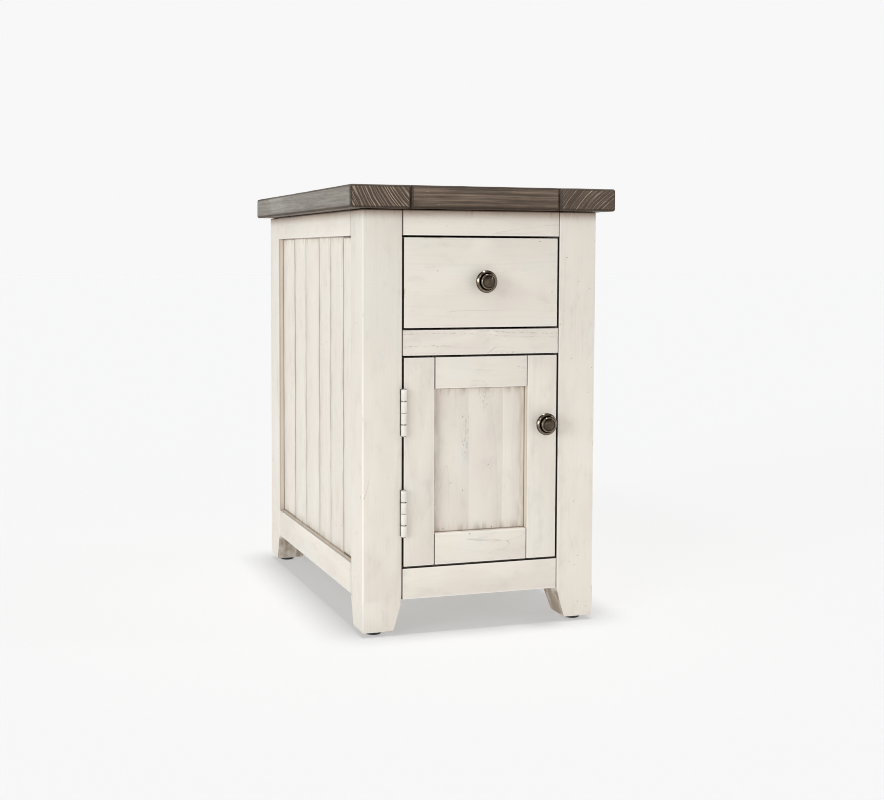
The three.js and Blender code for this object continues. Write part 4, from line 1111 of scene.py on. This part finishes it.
# %% [markdown]
# ## Side planks
# Six planks of different widths stand in the grooves of each side, with a V where two meet. One board
# with grooves would be quicker, and in the CAD model it is that. Here each plank is its own board, so
# that each has its own tone and grain, and the glaze settles in the V.

# %% Make the side planks
PLANK_WIDTHS = (72, 74, 68, 88, 75, 85)
front_of_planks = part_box("leg_front_left")[1].y
back_of_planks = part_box("leg_back_left")[0].y
joint_places = [
    front_of_planks + (back_of_planks - front_of_planks) * sum(PLANK_WIDTHS[:n]) / sum(PLANK_WIDTHS)
    for n in range(1, len(PLANK_WIDTHS))
]
PLANK_EDGE = 2.4 * MM
PLANK_GLAZE = ((0.92, 4.4), (0.50, 3.0), (0.42, 2.8), (0.52, 3.2), (0.38, 2.8), (0.62, 3.4))
RAIL_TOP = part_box("side_rail_bottom_left")[1].z
RAIL_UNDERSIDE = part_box("side_rail_top_left")[0].z


def long_upright(edge):
    run = edge.verts[1].co - edge.verts[0].co
    return abs(run.z) > 0.3


for side in ("left", "right"):
    node = f"side_planks_{side}"
    low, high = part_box(node)
    cuts = [low.y, *joint_places, high.y]
    for number, (near, far) in enumerate(zip(cuts, cuts[1:])):
        start = Vector((low.x, near + (SEAM / 2 if number else 0), low.z))
        end = Vector((high.x, far - (SEAM / 2 if number < len(cuts) - 2 else 0), high.z))
        plank = cut_blank(f"side_plank_{side}_{number + 1}", start, end)
        ease_edges(plank, PLANK_EDGE, 3, long_upright)
        seen_low = Vector((start.x, max(start.y, front_of_planks), RAIL_TOP))
        seen_high = Vector((end.x, min(end.y, back_of_planks), RAIL_UNDERSIDE))
        sides = ("front", "back", "bottom", "top")
        dark, wide = PLANK_GLAZE[number]
        age = (dark, wide * MM, 0.0)
        mark_grain(plank, start, end, Z, sides, age, seam_box=(seen_low, seen_high))
        dress(plank, whitewash, node)
print("planks to a side:", len(PLANK_WIDTHS), "joints at", [round(p, 3) for p in joint_places])

# %% [markdown]
# ## Back panel and floor
# The back is one thin panel housed in the posts and rails. The floor is notched round the four posts.
# Its outline could be drawn and given a thickness, but a joiner lays the posts on the board and saws
# round them, and so does this step: each post's box, with a little room, is taken out of the blank.

# %% Make the back panel and the floor
low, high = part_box("back_panel")
back_board = cut_blank("back_board", low, high)
ease_edges(back_board, 0.5 * MM)
seen_low = Vector((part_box("leg_back_left")[1].x, low.y, RAIL_TOP))
seen_high = Vector((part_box("leg_back_right")[0].x, high.y, RAIL_UNDERSIDE))
around = ("left", "right", "bottom", "top")
mark_grain(back_board, low, high, Z, around, (0.6, 2.5 * MM, 0.2), seam_box=(seen_low, seen_high))
dress(back_board, whitewash, "back_panel")

low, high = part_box("cabinet_floor")
floor_board = cut_blank("floor_board", low, high)
notches = []
for post in ("front_left", "front_right", "back_left", "back_right"):
    post_low, post_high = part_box(f"leg_{post}")
    room = Vector((SEAM,) * 3)
    notches.append(cut_blank("notch", post_low - room, post_high + room))
cut_away(floor_board, notches)
ease_edges(floor_board, 0.8 * MM)
mark_grain(floor_board, low, high, Y)
dress(floor_board, whitewash, "cabinet_floor")
print("floor faces:", len(floor_board.data.polygons))

# %% [markdown]
# ## Boards inside
# Two boards between the posts carry the drawer slides, and four small blocks are glued under the
# floor in its corners. A block could be a three-sided prism from the start, but it is made as in the
# shop: a square offcut is sawn across its diagonal, and the saw cut is filled with a new face.

# %% Make the slide boards and the corner blocks
def plain_board(name, node, along, ease=0.8, panels=()):
    low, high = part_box(node)
    board = cut_blank(name, low, high)
    ease_edges(board, ease * MM)
    cut_away(board, [groove_for(panel) for panel in panels])
    mark_grain(board, low, high, along)
    return dress(board, plain_wood, node)


for side in ("left", "right"):
    plain_board(f"slide_carrier_{side}", f"slide_board_{side}", Y)

for node in [name for name in frame["nodes"] if name.startswith("corner_block")]:
    low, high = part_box(node)
    block = cut_blank(node.replace("corner", "glue"), low, high)
    middle = (low + high) / 2
    outward = Vector((-math.copysign(1, middle.x), -math.copysign(1, middle.y), 0))
    open_piece(block)
    bpy.ops.mesh.select_all(action="SELECT")
    bpy.ops.mesh.bisect(plane_co=middle, plane_no=outward, use_fill=True, clear_outer=True)
    close_piece()
    ease_edges(block, 0.8 * MM)
    mark_grain(block, low, high, Z)
    dress(block, plain_wood, node)
print("glue block faces:", len(block.data.polygons))

# %% [markdown]
# ## Turned pieces
# Knobs, glides and screws are round. They could be stacked from cylinders, but a turner shapes one
# outline and the lathe does the rest, with no joins to clean up. Here one point is pushed from corner
# to corner along the outline, and the line is spun about the axis.

# %% A lathe
def turn(name, outline, place, axis, steps=48):
    """Spins an outline of (radius, distance along the axis) pairs in millimetres about an axis."""
    axis = Vector(axis)
    outward = axis.orthogonal().normalized()
    spots = [place + outward * (radius * MM) + axis * (reach * MM) for radius, reach in outline]
    bpy.ops.object.select_all(action="DESELECT")
    bpy.ops.mesh.primitive_plane_add(size=MM, location=spots[0])
    piece = bpy.context.object
    piece.name = name
    piece.data.name = name
    bpy.ops.object.transform_apply(location=True, rotation=True, scale=True)
    bpy.ops.object.mode_set(mode="EDIT")
    bpy.ops.mesh.select_mode(type="VERT")
    bpy.ops.mesh.select_all(action="SELECT")
    bpy.ops.mesh.merge(type="CENTER")
    for here, there in zip(spots, spots[1:]):
        bpy.ops.mesh.extrude_region_move(TRANSFORM_OT_translate={"value": there - here})
    bpy.ops.mesh.select_all(action="SELECT")
    bpy.ops.mesh.spin(steps=steps, angle=math.tau, center=place, axis=axis, use_auto_merge=True)
    bpy.ops.mesh.select_all(action="SELECT")
    bpy.ops.mesh.remove_doubles(threshold=0.01 * MM)
    bpy.ops.mesh.normals_make_consistent(inside=False)
    bpy.ops.object.mode_set(mode="OBJECT")
    return piece


# %% [markdown]
# ## Knobs
# Each knob has a small rosette against the wood, a neck, a wide flange with a rounded rim, and a
# raised button with a domed face. Hands polish what stands out and dirt stays in the hollows. Blender
# could guess that with its Pointiness, but the guess changes with how finely the mesh is divided. So
# every corner carries two numbers, how near it is to a rim and to a hollow, and the bronze reads them.

# %% Turn the knobs
KNOB_OUTLINE = (
    (0, 12), (2.1, 12), (2.1, 0.3), (8.6, 0.3), (9, 0.7), (9, 1.3), (8.6, 1.8), (7.6, 2.3),
    (6.2, 3.1), (5.3, 4.6), (5, 6.5), (5, 9.5), (5.6, 11.6), (7.4, 13.6), (10.4, 15.4),
    (13.4, 16.2), (15.3, 16.9), (15.95, 17.6), (15.95, 18.1), (15.6, 18.6), (15.2, 19.1),
    (14.4, 19.8), (13.6, 20.5), (12.9, 21.1), (12.4, 21.3), (11.9, 21.0), (11.5, 20.2), (11.2, 19.9),
    (11.0, 20.4), (10.9, 21.6),
    (10.8, 25.2), (10.5, 26.2), (9.9, 26.8), (9.2, 27.0), (8.7, 26.9), (8.2, 27.1),
    (6.5, 28.3), (4.3, 29.3), (2.0, 29.85), (0, 30),
)
RIMS = ((14.0, 20.2), (10.3, 26.4), (9.0, 1.0))
HOLLOWS = ((11.2, 19.8), (16.4, 17.4), (8.4, 27.1))
MARK_REACH = 1.6
KNOB_REACH = KNOB_OUTLINE[-1][1] * MM


def share(radius, reach, places):
    """1 at any of the places on the outline, falling to 0 a little way off."""
    nearest = min(math.hypot(radius - r, reach - d) for r, d in places)
    return max(0.0, 1 - nearest / MARK_REACH)


for which in ("drawer", "door"):
    low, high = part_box(f"{which}_knob")
    seat = Vector(((low.x + high.x) / 2, FACE, (low.z + high.z) / 2))
    knob = turn(f"{which}_pull", KNOB_OUTLINE, seat, (0, -1, 0), 56)
    rims = knob.data.attributes.new("rim", "FLOAT_VECTOR", "POINT")
    for corner, mark in zip(knob.data.vertices, rims.data):
        away = corner.co - seat
        radius, reach = math.hypot(away.x, away.z) / MM, -away.y / MM
        mark.vector = (share(radius, reach, RIMS), share(radius, reach, HOLLOWS), 0)
    dress(knob, antique_bronze, f"{which}_knob")
    print(knob.name, "reaches", round(KNOB_REACH, 3), "m, faces:", len(knob.data.polygons))

# %% [markdown]
# ## Screws
# A machine screw from inside holds each knob, and small wood screws hold the hinges, slides and
# catch. A thread can't be seen once a screw is in, so the shank is left plain. The screw is turned on
# the same lathe, and a cross is cut in its head. Where screws repeat, one is made and then copied.

# %% A screw and its copies
def make_screw(name, place, axis, head, shank, length, flat=False):
    """A screw with a cross in its head. The underside of a pan head lies on place, and a flat head
    is sunk into it. The head faces along the axis. Sizes in millimetres."""
    rise = 0.12 if flat else head * 0.55
    outline = [
        (0, -length), (shank * 0.6, 1.2 * shank - length), (shank, 2 * shank - length),
    ]
    if flat:
        outline += [(shank, -head * 0.6), (head, 0), (head * 0.97, rise), (0, rise)]
    else:
        outline += [
            (shank, 0), (head * 0.93, 0), (head, rise * 0.25), (head * 0.88, rise * 0.68),
            (head * 0.55, rise * 0.93), (0, rise),
        ]
    screw = turn(name, outline, place, axis, 20)
    across = Vector(axis).orthogonal().normalized()
    other = Vector(axis).cross(across)
    top = place + Vector(axis) * (rise * MM)
    slots = []
    for long_way, short_way in ((across, other), (other, across)):
        reach = [
            head * (abs(long_way[i]) * 0.6 + abs(short_way[i]) * 0.13 + abs(axis[i]) * 0.33)
            for i in range(3)
        ]
        reach = Vector(reach) * MM
        slots.append(cut_blank("slot", top - reach, top + reach))
    cut_away(screw, slots)
    return screw


def copy_screw(first, name, move):
    """Another screw like the first one, with its own mesh, moved into place."""
    bpy.ops.object.select_all(action="DESELECT")
    first.select_set(True)
    bpy.context.view_layer.objects.active = first
    bpy.ops.object.duplicate(linked=False)
    screw = bpy.context.object
    screw.name = name
    screw.data.name = name
    bpy.ops.object.mode_set(mode="EDIT")
    bpy.ops.mesh.select_all(action="SELECT")
    bpy.ops.transform.translate(value=move)
    bpy.ops.object.mode_set(mode="OBJECT")
    return screw


# %% Screw the knobs on
KNOB_SCREW_HEAD = 2.4 * MM
for which in ("drawer", "door"):
    node = f"{which}_knob_screw"
    low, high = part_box(node)
    seat = Vector(((low.x + high.x) / 2, high.y - KNOB_SCREW_HEAD, (low.z + high.z) / 2))
    screw = make_screw(f"{which}_pull_screw", seat, (0, 1, 0), 4, 2, seat.y / MM - low.y / MM)
    dress(screw, zinc_plate, node)
print("screw faces:", len(screw.data.polygons))

# %% [markdown]
# ## Glides
# A round plastic glide is nailed under each foot, so that the table slides and its end grain stays
# off the floor. It is one more outline for the lathe, with the nail as the narrow end of the outline.

# %% Turn the glides
GLIDE_OUTLINE = (
    (0, 0.6), (7.5, 0.6), (8.3, 0), (9.2, 0), (10.4, 0.4), (11.2, 1.3), (11.5, 2.4),
    (11.5, 5.3), (11.1, 5.7), (1.5, 5.7), (1.5, 18), (0, 20),
)
for node in [name for name in frame["nodes"] if name.startswith("foot_glide")]:
    low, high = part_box(node)
    seat = Vector(((low.x + high.x) / 2, (low.y + high.y) / 2, 0))
    glide = turn(node.replace("foot_glide", "glide"), GLIDE_OUTLINE, seat, (0, 0, 1), 36)
    dress(glide, black_plastic, node)
print("glide faces:", len(glide.data.polygons))

# %% [markdown]
# ## Drawer
# The front is a plain slab whose edges are well rounded. Behind it is a box of two sides, a back and
# a bottom. One hollow block would look the same from far off. Separate boards each show their own
# grain, and the bottom is housed in grooves in the front and the sides.

# %% Make the drawer
painted_board("drawer_face", "drawer_front", X, 2.0, panels=("drawer_bottom",))
for side in ("left", "right"):
    plain_board(f"drawer_wall_{side}", f"drawer_side_{side}", Y, 1.5, panels=("drawer_bottom",))
plain_board("drawer_wall_back", "drawer_back", X, 1.5)
bottom = plain_board("drawer_floor", "drawer_bottom", X, 0.5)
print("drawer bottom:", [round(size, 3) for size in bottom.dimensions], "m")

# %% [markdown]
# ## Door
# Two stiles run the full height, two rails fit between them, and a panel sits back from the frame.
# Frame and panel let the wood swell without the door changing size. The panel is glued up from three
# narrower boards. A line drawn on one board could hint at that, but three boards also differ in tone.

# %% Make the door
STILE_SEAM = (0.3, 1.2 * MM, 0.2)
hinge_beds = [f"hinge_{level}_door_leaf" for level in ("lower", "upper")]
for side in ("left", "right"):
    housed = ("door_panel", *(hinge_beds if side == "left" else ()))
    inner = ("right",) if side == "left" else ("left",)
    painted_board(f"door_upright_{side}", f"door_stile_{side}", Z, 1.8, inner, housed, STILE_SEAM)
for level in ("top", "bottom"):
    ends = ("left", "right")
    painted_board(f"door_crosspiece_{level}", f"door_rail_{level}", X, 1.6, ends, ("door_panel",))


# %% Make the door's panel
low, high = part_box("door_panel")
seen_low = Vector((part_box("door_stile_left")[1].x, low.y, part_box("door_rail_bottom")[1].z))
seen_high = Vector((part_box("door_stile_right")[0].x, high.y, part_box("door_rail_top")[0].z))
FIELD_JOINTS = (0.0, 0.40, 0.74, 1.0)
FIELD_AGE = (0.60, 2.2 * MM, 0.35)
for number, (start, end) in enumerate(zip(FIELD_JOINTS, FIELD_JOINTS[1:]), 1):
    near = Vector((low.x + (high.x - low.x) * start, low.y, low.z))
    far = Vector((low.x + (high.x - low.x) * end, high.y, high.z))
    field = cut_blank(f"door_field_{number}", near, far)
    ease_edges(field, 0.25 * MM)
    mark_grain(field, near, far, Z, around, FIELD_AGE, seam_box=(seen_low, seen_high))
    dress(field, whitewash, "door_panel")
print("boards in the door's panel:", len(FIELD_JOINTS) - 1)

# %% [markdown]
# ## Hinges
# A butt hinge is two plates with rolled knuckles that share one pin. The plates lie in shallow
# mortises in the gap beside the door, and the barrel of knuckles stands in front of it. A plate could
# be rolled into knuckles by bending its mesh. It is simpler to turn each knuckle as a short tube with
# rounded ends and join it to its plate, so that a leaf is still one piece of steel.

# %% Turn the knuckles
HINGE_HEIGHT = 65.4 * MM
BARREL = 4.25 * MM
KNUCKLE_BORE = 2.1
KNUCKLE_EASE = 0.6
KNUCKLES = 4
KNUCKLE_GAPS = (1.3 * MM, 0.4 * MM, 1.3 * MM)
knuckle_length = (HINGE_HEIGHT - sum(KNUCKLE_GAPS)) / KNUCKLES
hinge = next(joint for joint in frame["joints"] if joint["name"] == "door_hinge")
axis_x, axis_y = hinge["pos_m"][:2]


def weld(piece, others):
    """Joins solids into one, and leaves nothing inside."""
    for other in others:
        tool = piece.modifiers.new("weld", "BOOLEAN")
        tool.operation = "UNION"
        tool.solver = "EXACT"
        tool.object = other
        bpy.context.view_layer.objects.active = piece
        bpy.ops.object.modifier_apply(modifier=tool.name)
        bpy.data.objects.remove(other)


def make_knuckle(middle_z, upper):
    """A knuckle of a hinge, below as many others as upper says."""
    top = middle_z + HINGE_HEIGHT / 2 - upper * knuckle_length - sum(KNUCKLE_GAPS[:upper])
    r, length, ease, bore = BARREL / MM, knuckle_length / MM, KNUCKLE_EASE, KNUCKLE_BORE
    ring = (
        (bore, 0), (r - ease, 0), (r - ease * 0.3, ease * 0.3), (r, ease), (r, length - ease),
        (r - ease * 0.3, length - ease * 0.3), (r - ease, length), (bore, length), (bore, 0),
    )
    return turn("knuckle", ring, Vector((axis_x, axis_y, top - knuckle_length)), (0, 0, 1), 32)


print("knuckle length", round(knuckle_length / MM, 2), "mm")

# %% Make the hinge leaves
LEAF_NEAR = 0.35 * MM
LEAF_FAR = 1.55 * MM
LEAF_SETBACK = 0.4 * MM
LEAF_EDGE = 0.25 * MM
TAB_START = 2.5 * MM
TAB_INSET = 0.6 * MM


def make_leaf(level, kind, sign, first):
    node = f"hinge_{level}_{kind}_leaf"
    low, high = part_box(node)
    middle_z = (low.z + high.z) / 2
    inner, outer = sorted((axis_x + sign * LEAF_NEAR, axis_x + sign * LEAF_FAR))
    plate_front = axis_y + BARREL + LEAF_SETBACK
    plate = cut_blank("plate", Vector((inner, plate_front, low.z)), Vector((outer, high.y, high.z)))
    ease_edges(plate, LEAF_EDGE)
    parts = []
    for number in range(first, KNUCKLES, 2):
        knuckle = make_knuckle(middle_z, number)
        top = max(corner.co.z for corner in knuckle.data.vertices)
        tab_low = Vector((inner, axis_y + TAB_START, top - knuckle_length + TAB_INSET))
        tab_high = Vector((outer, plate_front + MM, top - TAB_INSET))
        parts += [knuckle, cut_blank("tab", tab_low, tab_high)]
    weld(plate, parts)
    plate.name = plate.data.name = f"{level}_hinge_{kind}_leaf"
    return dress(plate, painted_steel, node)


for level in ("lower", "upper"):
    make_leaf(level, "frame", -1, 0)
    leaf = make_leaf(level, "door", 1, 1)
print("hinge leaf faces:", len(leaf.data.polygons))

# %% [markdown]
# Three flat-headed screws hold each leaf. Their heads are sunk almost flush, because a head that stood
# out in the narrow gap would stop the door from closing. One screw is made for each leaf, and the other
# two are copies moved along it.

# %% Screw the hinges on
SCREWS_TO_A_LEAF = 3
SCREW_INSET = 11 * MM
for level in ("lower", "upper"):
    for kind, sign in (("frame", -1), ("door", 1)):
        node = f"hinge_{level}_{kind}_leaf"
        low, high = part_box(node)
        middle_y = (axis_y + BARREL + high.y) / 2
        seat = Vector((axis_x + sign * LEAF_NEAR, middle_y, low.z + SCREW_INSET))
        step = Vector((0, 0, (high.z - low.z - 2 * SCREW_INSET) / (SCREWS_TO_A_LEAF - 1)))
        name = f"{level}_hinge_{kind}_screw"
        first_screw = make_screw(f"{name}_1", seat, (-sign, 0, 0), 3.0, 1.4, 14, flat=True)
        for number in range(1, SCREWS_TO_A_LEAF):
            screw = copy_screw(first_screw, f"{name}_{number + 1}", step * number)
            dress(screw, painted_steel, node, stands_for=False)
        dress(first_screw, painted_steel, node, stands_for=False)
print("screw heads at", round(seat.y, 4), "faces each:", len(first_screw.data.polygons))

# %% [markdown]
# The pin holds the two leaves together and has a low domed cap at each end, a little narrower than
# the barrel. Its shank nearly fills the knuckles, and only the slits between them show it. A plain
# cylinder would leave the caps out, so it is one more outline for the lathe.

# %% Turn the hinge pins
PIN_CAP = 3.3
PIN_SHANK = 2
for level in ("lower", "upper"):
    node = f"hinge_{level}_pin"
    low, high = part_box(node)
    r, shank, tall = PIN_CAP, PIN_SHANK, (high.z - low.z) / MM
    outline = (
        (0, 0), (r - 1.2, 0), (r - 0.5, 0.25), (r, 0.8), (r, 1.0), (shank, 1.0), (shank, tall - 1.0),
        (r, tall - 1.0), (r, tall - 0.8), (r - 0.5, tall - 0.25), (r - 1.2, tall), (0, tall),
    )
    pin = turn(f"{level}_hinge_pin", outline, Vector((axis_x, axis_y, low.z)), (0, 0, 1), 32)
    dress(pin, painted_steel, node)
print("hinge pin at", round(axis_x, 4), round(axis_y, 4))

# %% [markdown]
# ## Catch
# A magnetic catch under the middle rail holds the door by a small steel plate on its back. Its case
# is a moulded box with an ear at each end for a screw, and a mouth in front where the magnet sits
# between two steel plates. A box with the details painted on would do from outside, but the catch is
# seen from close by when the door is open.

# %% Make the case of the catch
EAR = 3 * MM
EAR_REACH = 7 * MM
low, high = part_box("magnetic_catch")
middle = (low + high) / 2


def is_upright(edge):
    return is_sharp(edge) and abs(edge.verts[0].co.z - edge.verts[1].co.z) > MM


case_low = Vector((low.x + EAR_REACH, low.y, low.z))
case_high = Vector((high.x - EAR_REACH, high.y, high.z))
housing = cut_blank("catch_housing", case_low, case_high)
ease_edges(housing, 1.2 * MM, 3)
ears_low = Vector((low.x, low.y + 4 * MM, high.z - EAR))
ears_high = Vector((high.x, high.y - 1 * MM, high.z))
ears = cut_blank("ears", ears_low, ears_high)
ease_edges(ears, 2.5 * MM, 4, is_upright)
weld(housing, [ears])
mouth_low = Vector((middle.x - 11 * MM, low.y - MM, middle.z - 3.8 * MM))
mouth_high = Vector((middle.x + 11 * MM, low.y + 2.5 * MM, middle.z + 3.8 * MM))
cut_away(housing, [cut_blank("mouth", mouth_low, mouth_high)])
dress(housing, brown_plastic, "magnetic_catch")
print("catch faces:", len(housing.data.polygons))

# %% Put the magnet, its plates and the screws in
magnet_low = Vector((mouth_low.x + 0.3 * MM, low.y + 1.2 * MM, middle.z - 2.2 * MM))
magnet_high = Vector((mouth_high.x - 0.3 * MM, low.y + 3.0 * MM, middle.z + 2.2 * MM))
magnet = cut_blank("catch_magnet", magnet_low, magnet_high)
ease_edges(magnet, 0.3 * MM)
dress(magnet, magnet_black, "magnetic_catch", stands_for=False)
for level, sign in (("lower", -1), ("upper", 1)):
    heights = sorted((middle.z + sign * 2.3 * MM, middle.z + sign * 3.4 * MM))
    plate_low = Vector((magnet_low.x, low.y + 0.1 * MM, heights[0]))
    plate_high = Vector((magnet_high.x, low.y + 3.0 * MM, heights[1]))
    plate = cut_blank(f"catch_plate_{level}", plate_low, plate_high)
    ease_edges(plate, 0.25 * MM)
    dress(plate, zinc_plate, "magnetic_catch", stands_for=False)
for number, x in enumerate((low.x + 3.5 * MM, high.x - 3.5 * MM), 1):
    seat = Vector((x, middle.y + 1.5 * MM, high.z - EAR))
    screw = make_screw(f"catch_screw_{number}", seat, (0, 0, -1), 2.9, 1.5, EAR / MM)
    dress(screw, zinc_plate, "magnetic_catch", stands_for=False)
print("magnet:", [round(size / MM, 1) for size in magnet.dimensions], "mm")


# %% Make the strike plate
def runs_through(edge):
    return is_sharp(edge) and abs(edge.verts[0].co.y - edge.verts[1].co.y) > 0.5 * MM


low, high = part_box("catch_strike_plate")
strike = cut_blank("strike_plate", low, high)
ease_edges(strike, 2.0 * MM, 4, runs_through)
ease_edges(strike, 0.25 * MM)
dress(strike, zinc_plate, "catch_strike_plate")
seat = Vector(((low.x + high.x) / 2, high.y, (low.z + high.z) / 2))
screw = make_screw("strike_screw", seat, (0, 1, 0), 2.8, 1.4, 12, flat=True)
dress(screw, zinc_plate, "catch_strike_plate", stands_for=False)
print("strike plate faces:", len(strike.data.polygons))

# %% [markdown]
# ## Slides
# The drawer runs on ball-bearing slides of three nested channels, two pressed steel pieces that move
# and one that is fixed. The CAD model already has their exact shape, so making them again would only
# add mistakes. They keep their mesh and take the zinc finish in place of the plain one.

# %% Finish the slides
for node in [name for name in frame["nodes"] if name.startswith("slide_") and "board" not in name]:
    channel = frame["nodes"][node]
    channel.data.materials.clear()
    channel.data.materials.append(zinc_plate)
print("slides finished in", zinc_plate.name)

# %% [markdown]
# Three screws hold the inner channel of each slide to the drawer's side, and show when the drawer is
# pulled out. They could be drawn as dots on the steel, but a copied screw costs little and catches
# the light. The heads sit in the channel, on the side away from the drawer, where a driver reaches.

# %% Screw the slides to the drawer
WEB = 1.2 * MM
END_SPARE = 30 * MM
SCREW_PLACES = (0.0, 0.47, 0.93)
for side, sign in (("left", -1), ("right", 1)):
    node = f"slide_inner_{side}"
    low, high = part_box(node)
    face = sign * (min(low.x * sign, high.x * sign) + WEB)
    seat = Vector((face, low.y + END_SPARE, (low.z + high.z) / 2))
    first = make_screw(f"drawer_slide_screw_{side}_1", seat, (sign, 0, 0), 3.2, 1.6, 12)
    for number, share_of_length in enumerate(SCREW_PLACES[1:], 2):
        move = Vector((0, (high.y - low.y - 2 * END_SPARE) * share_of_length, 0))
        screw = copy_screw(first, f"drawer_slide_screw_{side}_{number}", move)
        dress(screw, zinc_plate, node, stands_for=False)
    dress(first, zinc_plate, node, stands_for=False)
print("screws to a slide:", len(SCREW_PLACES), "on", round(face, 4))

# %% [markdown]
# ## Sizes
# The finished table may not be larger than the CAD model, because a room planner or a robot trusts
# the CAD sizes.
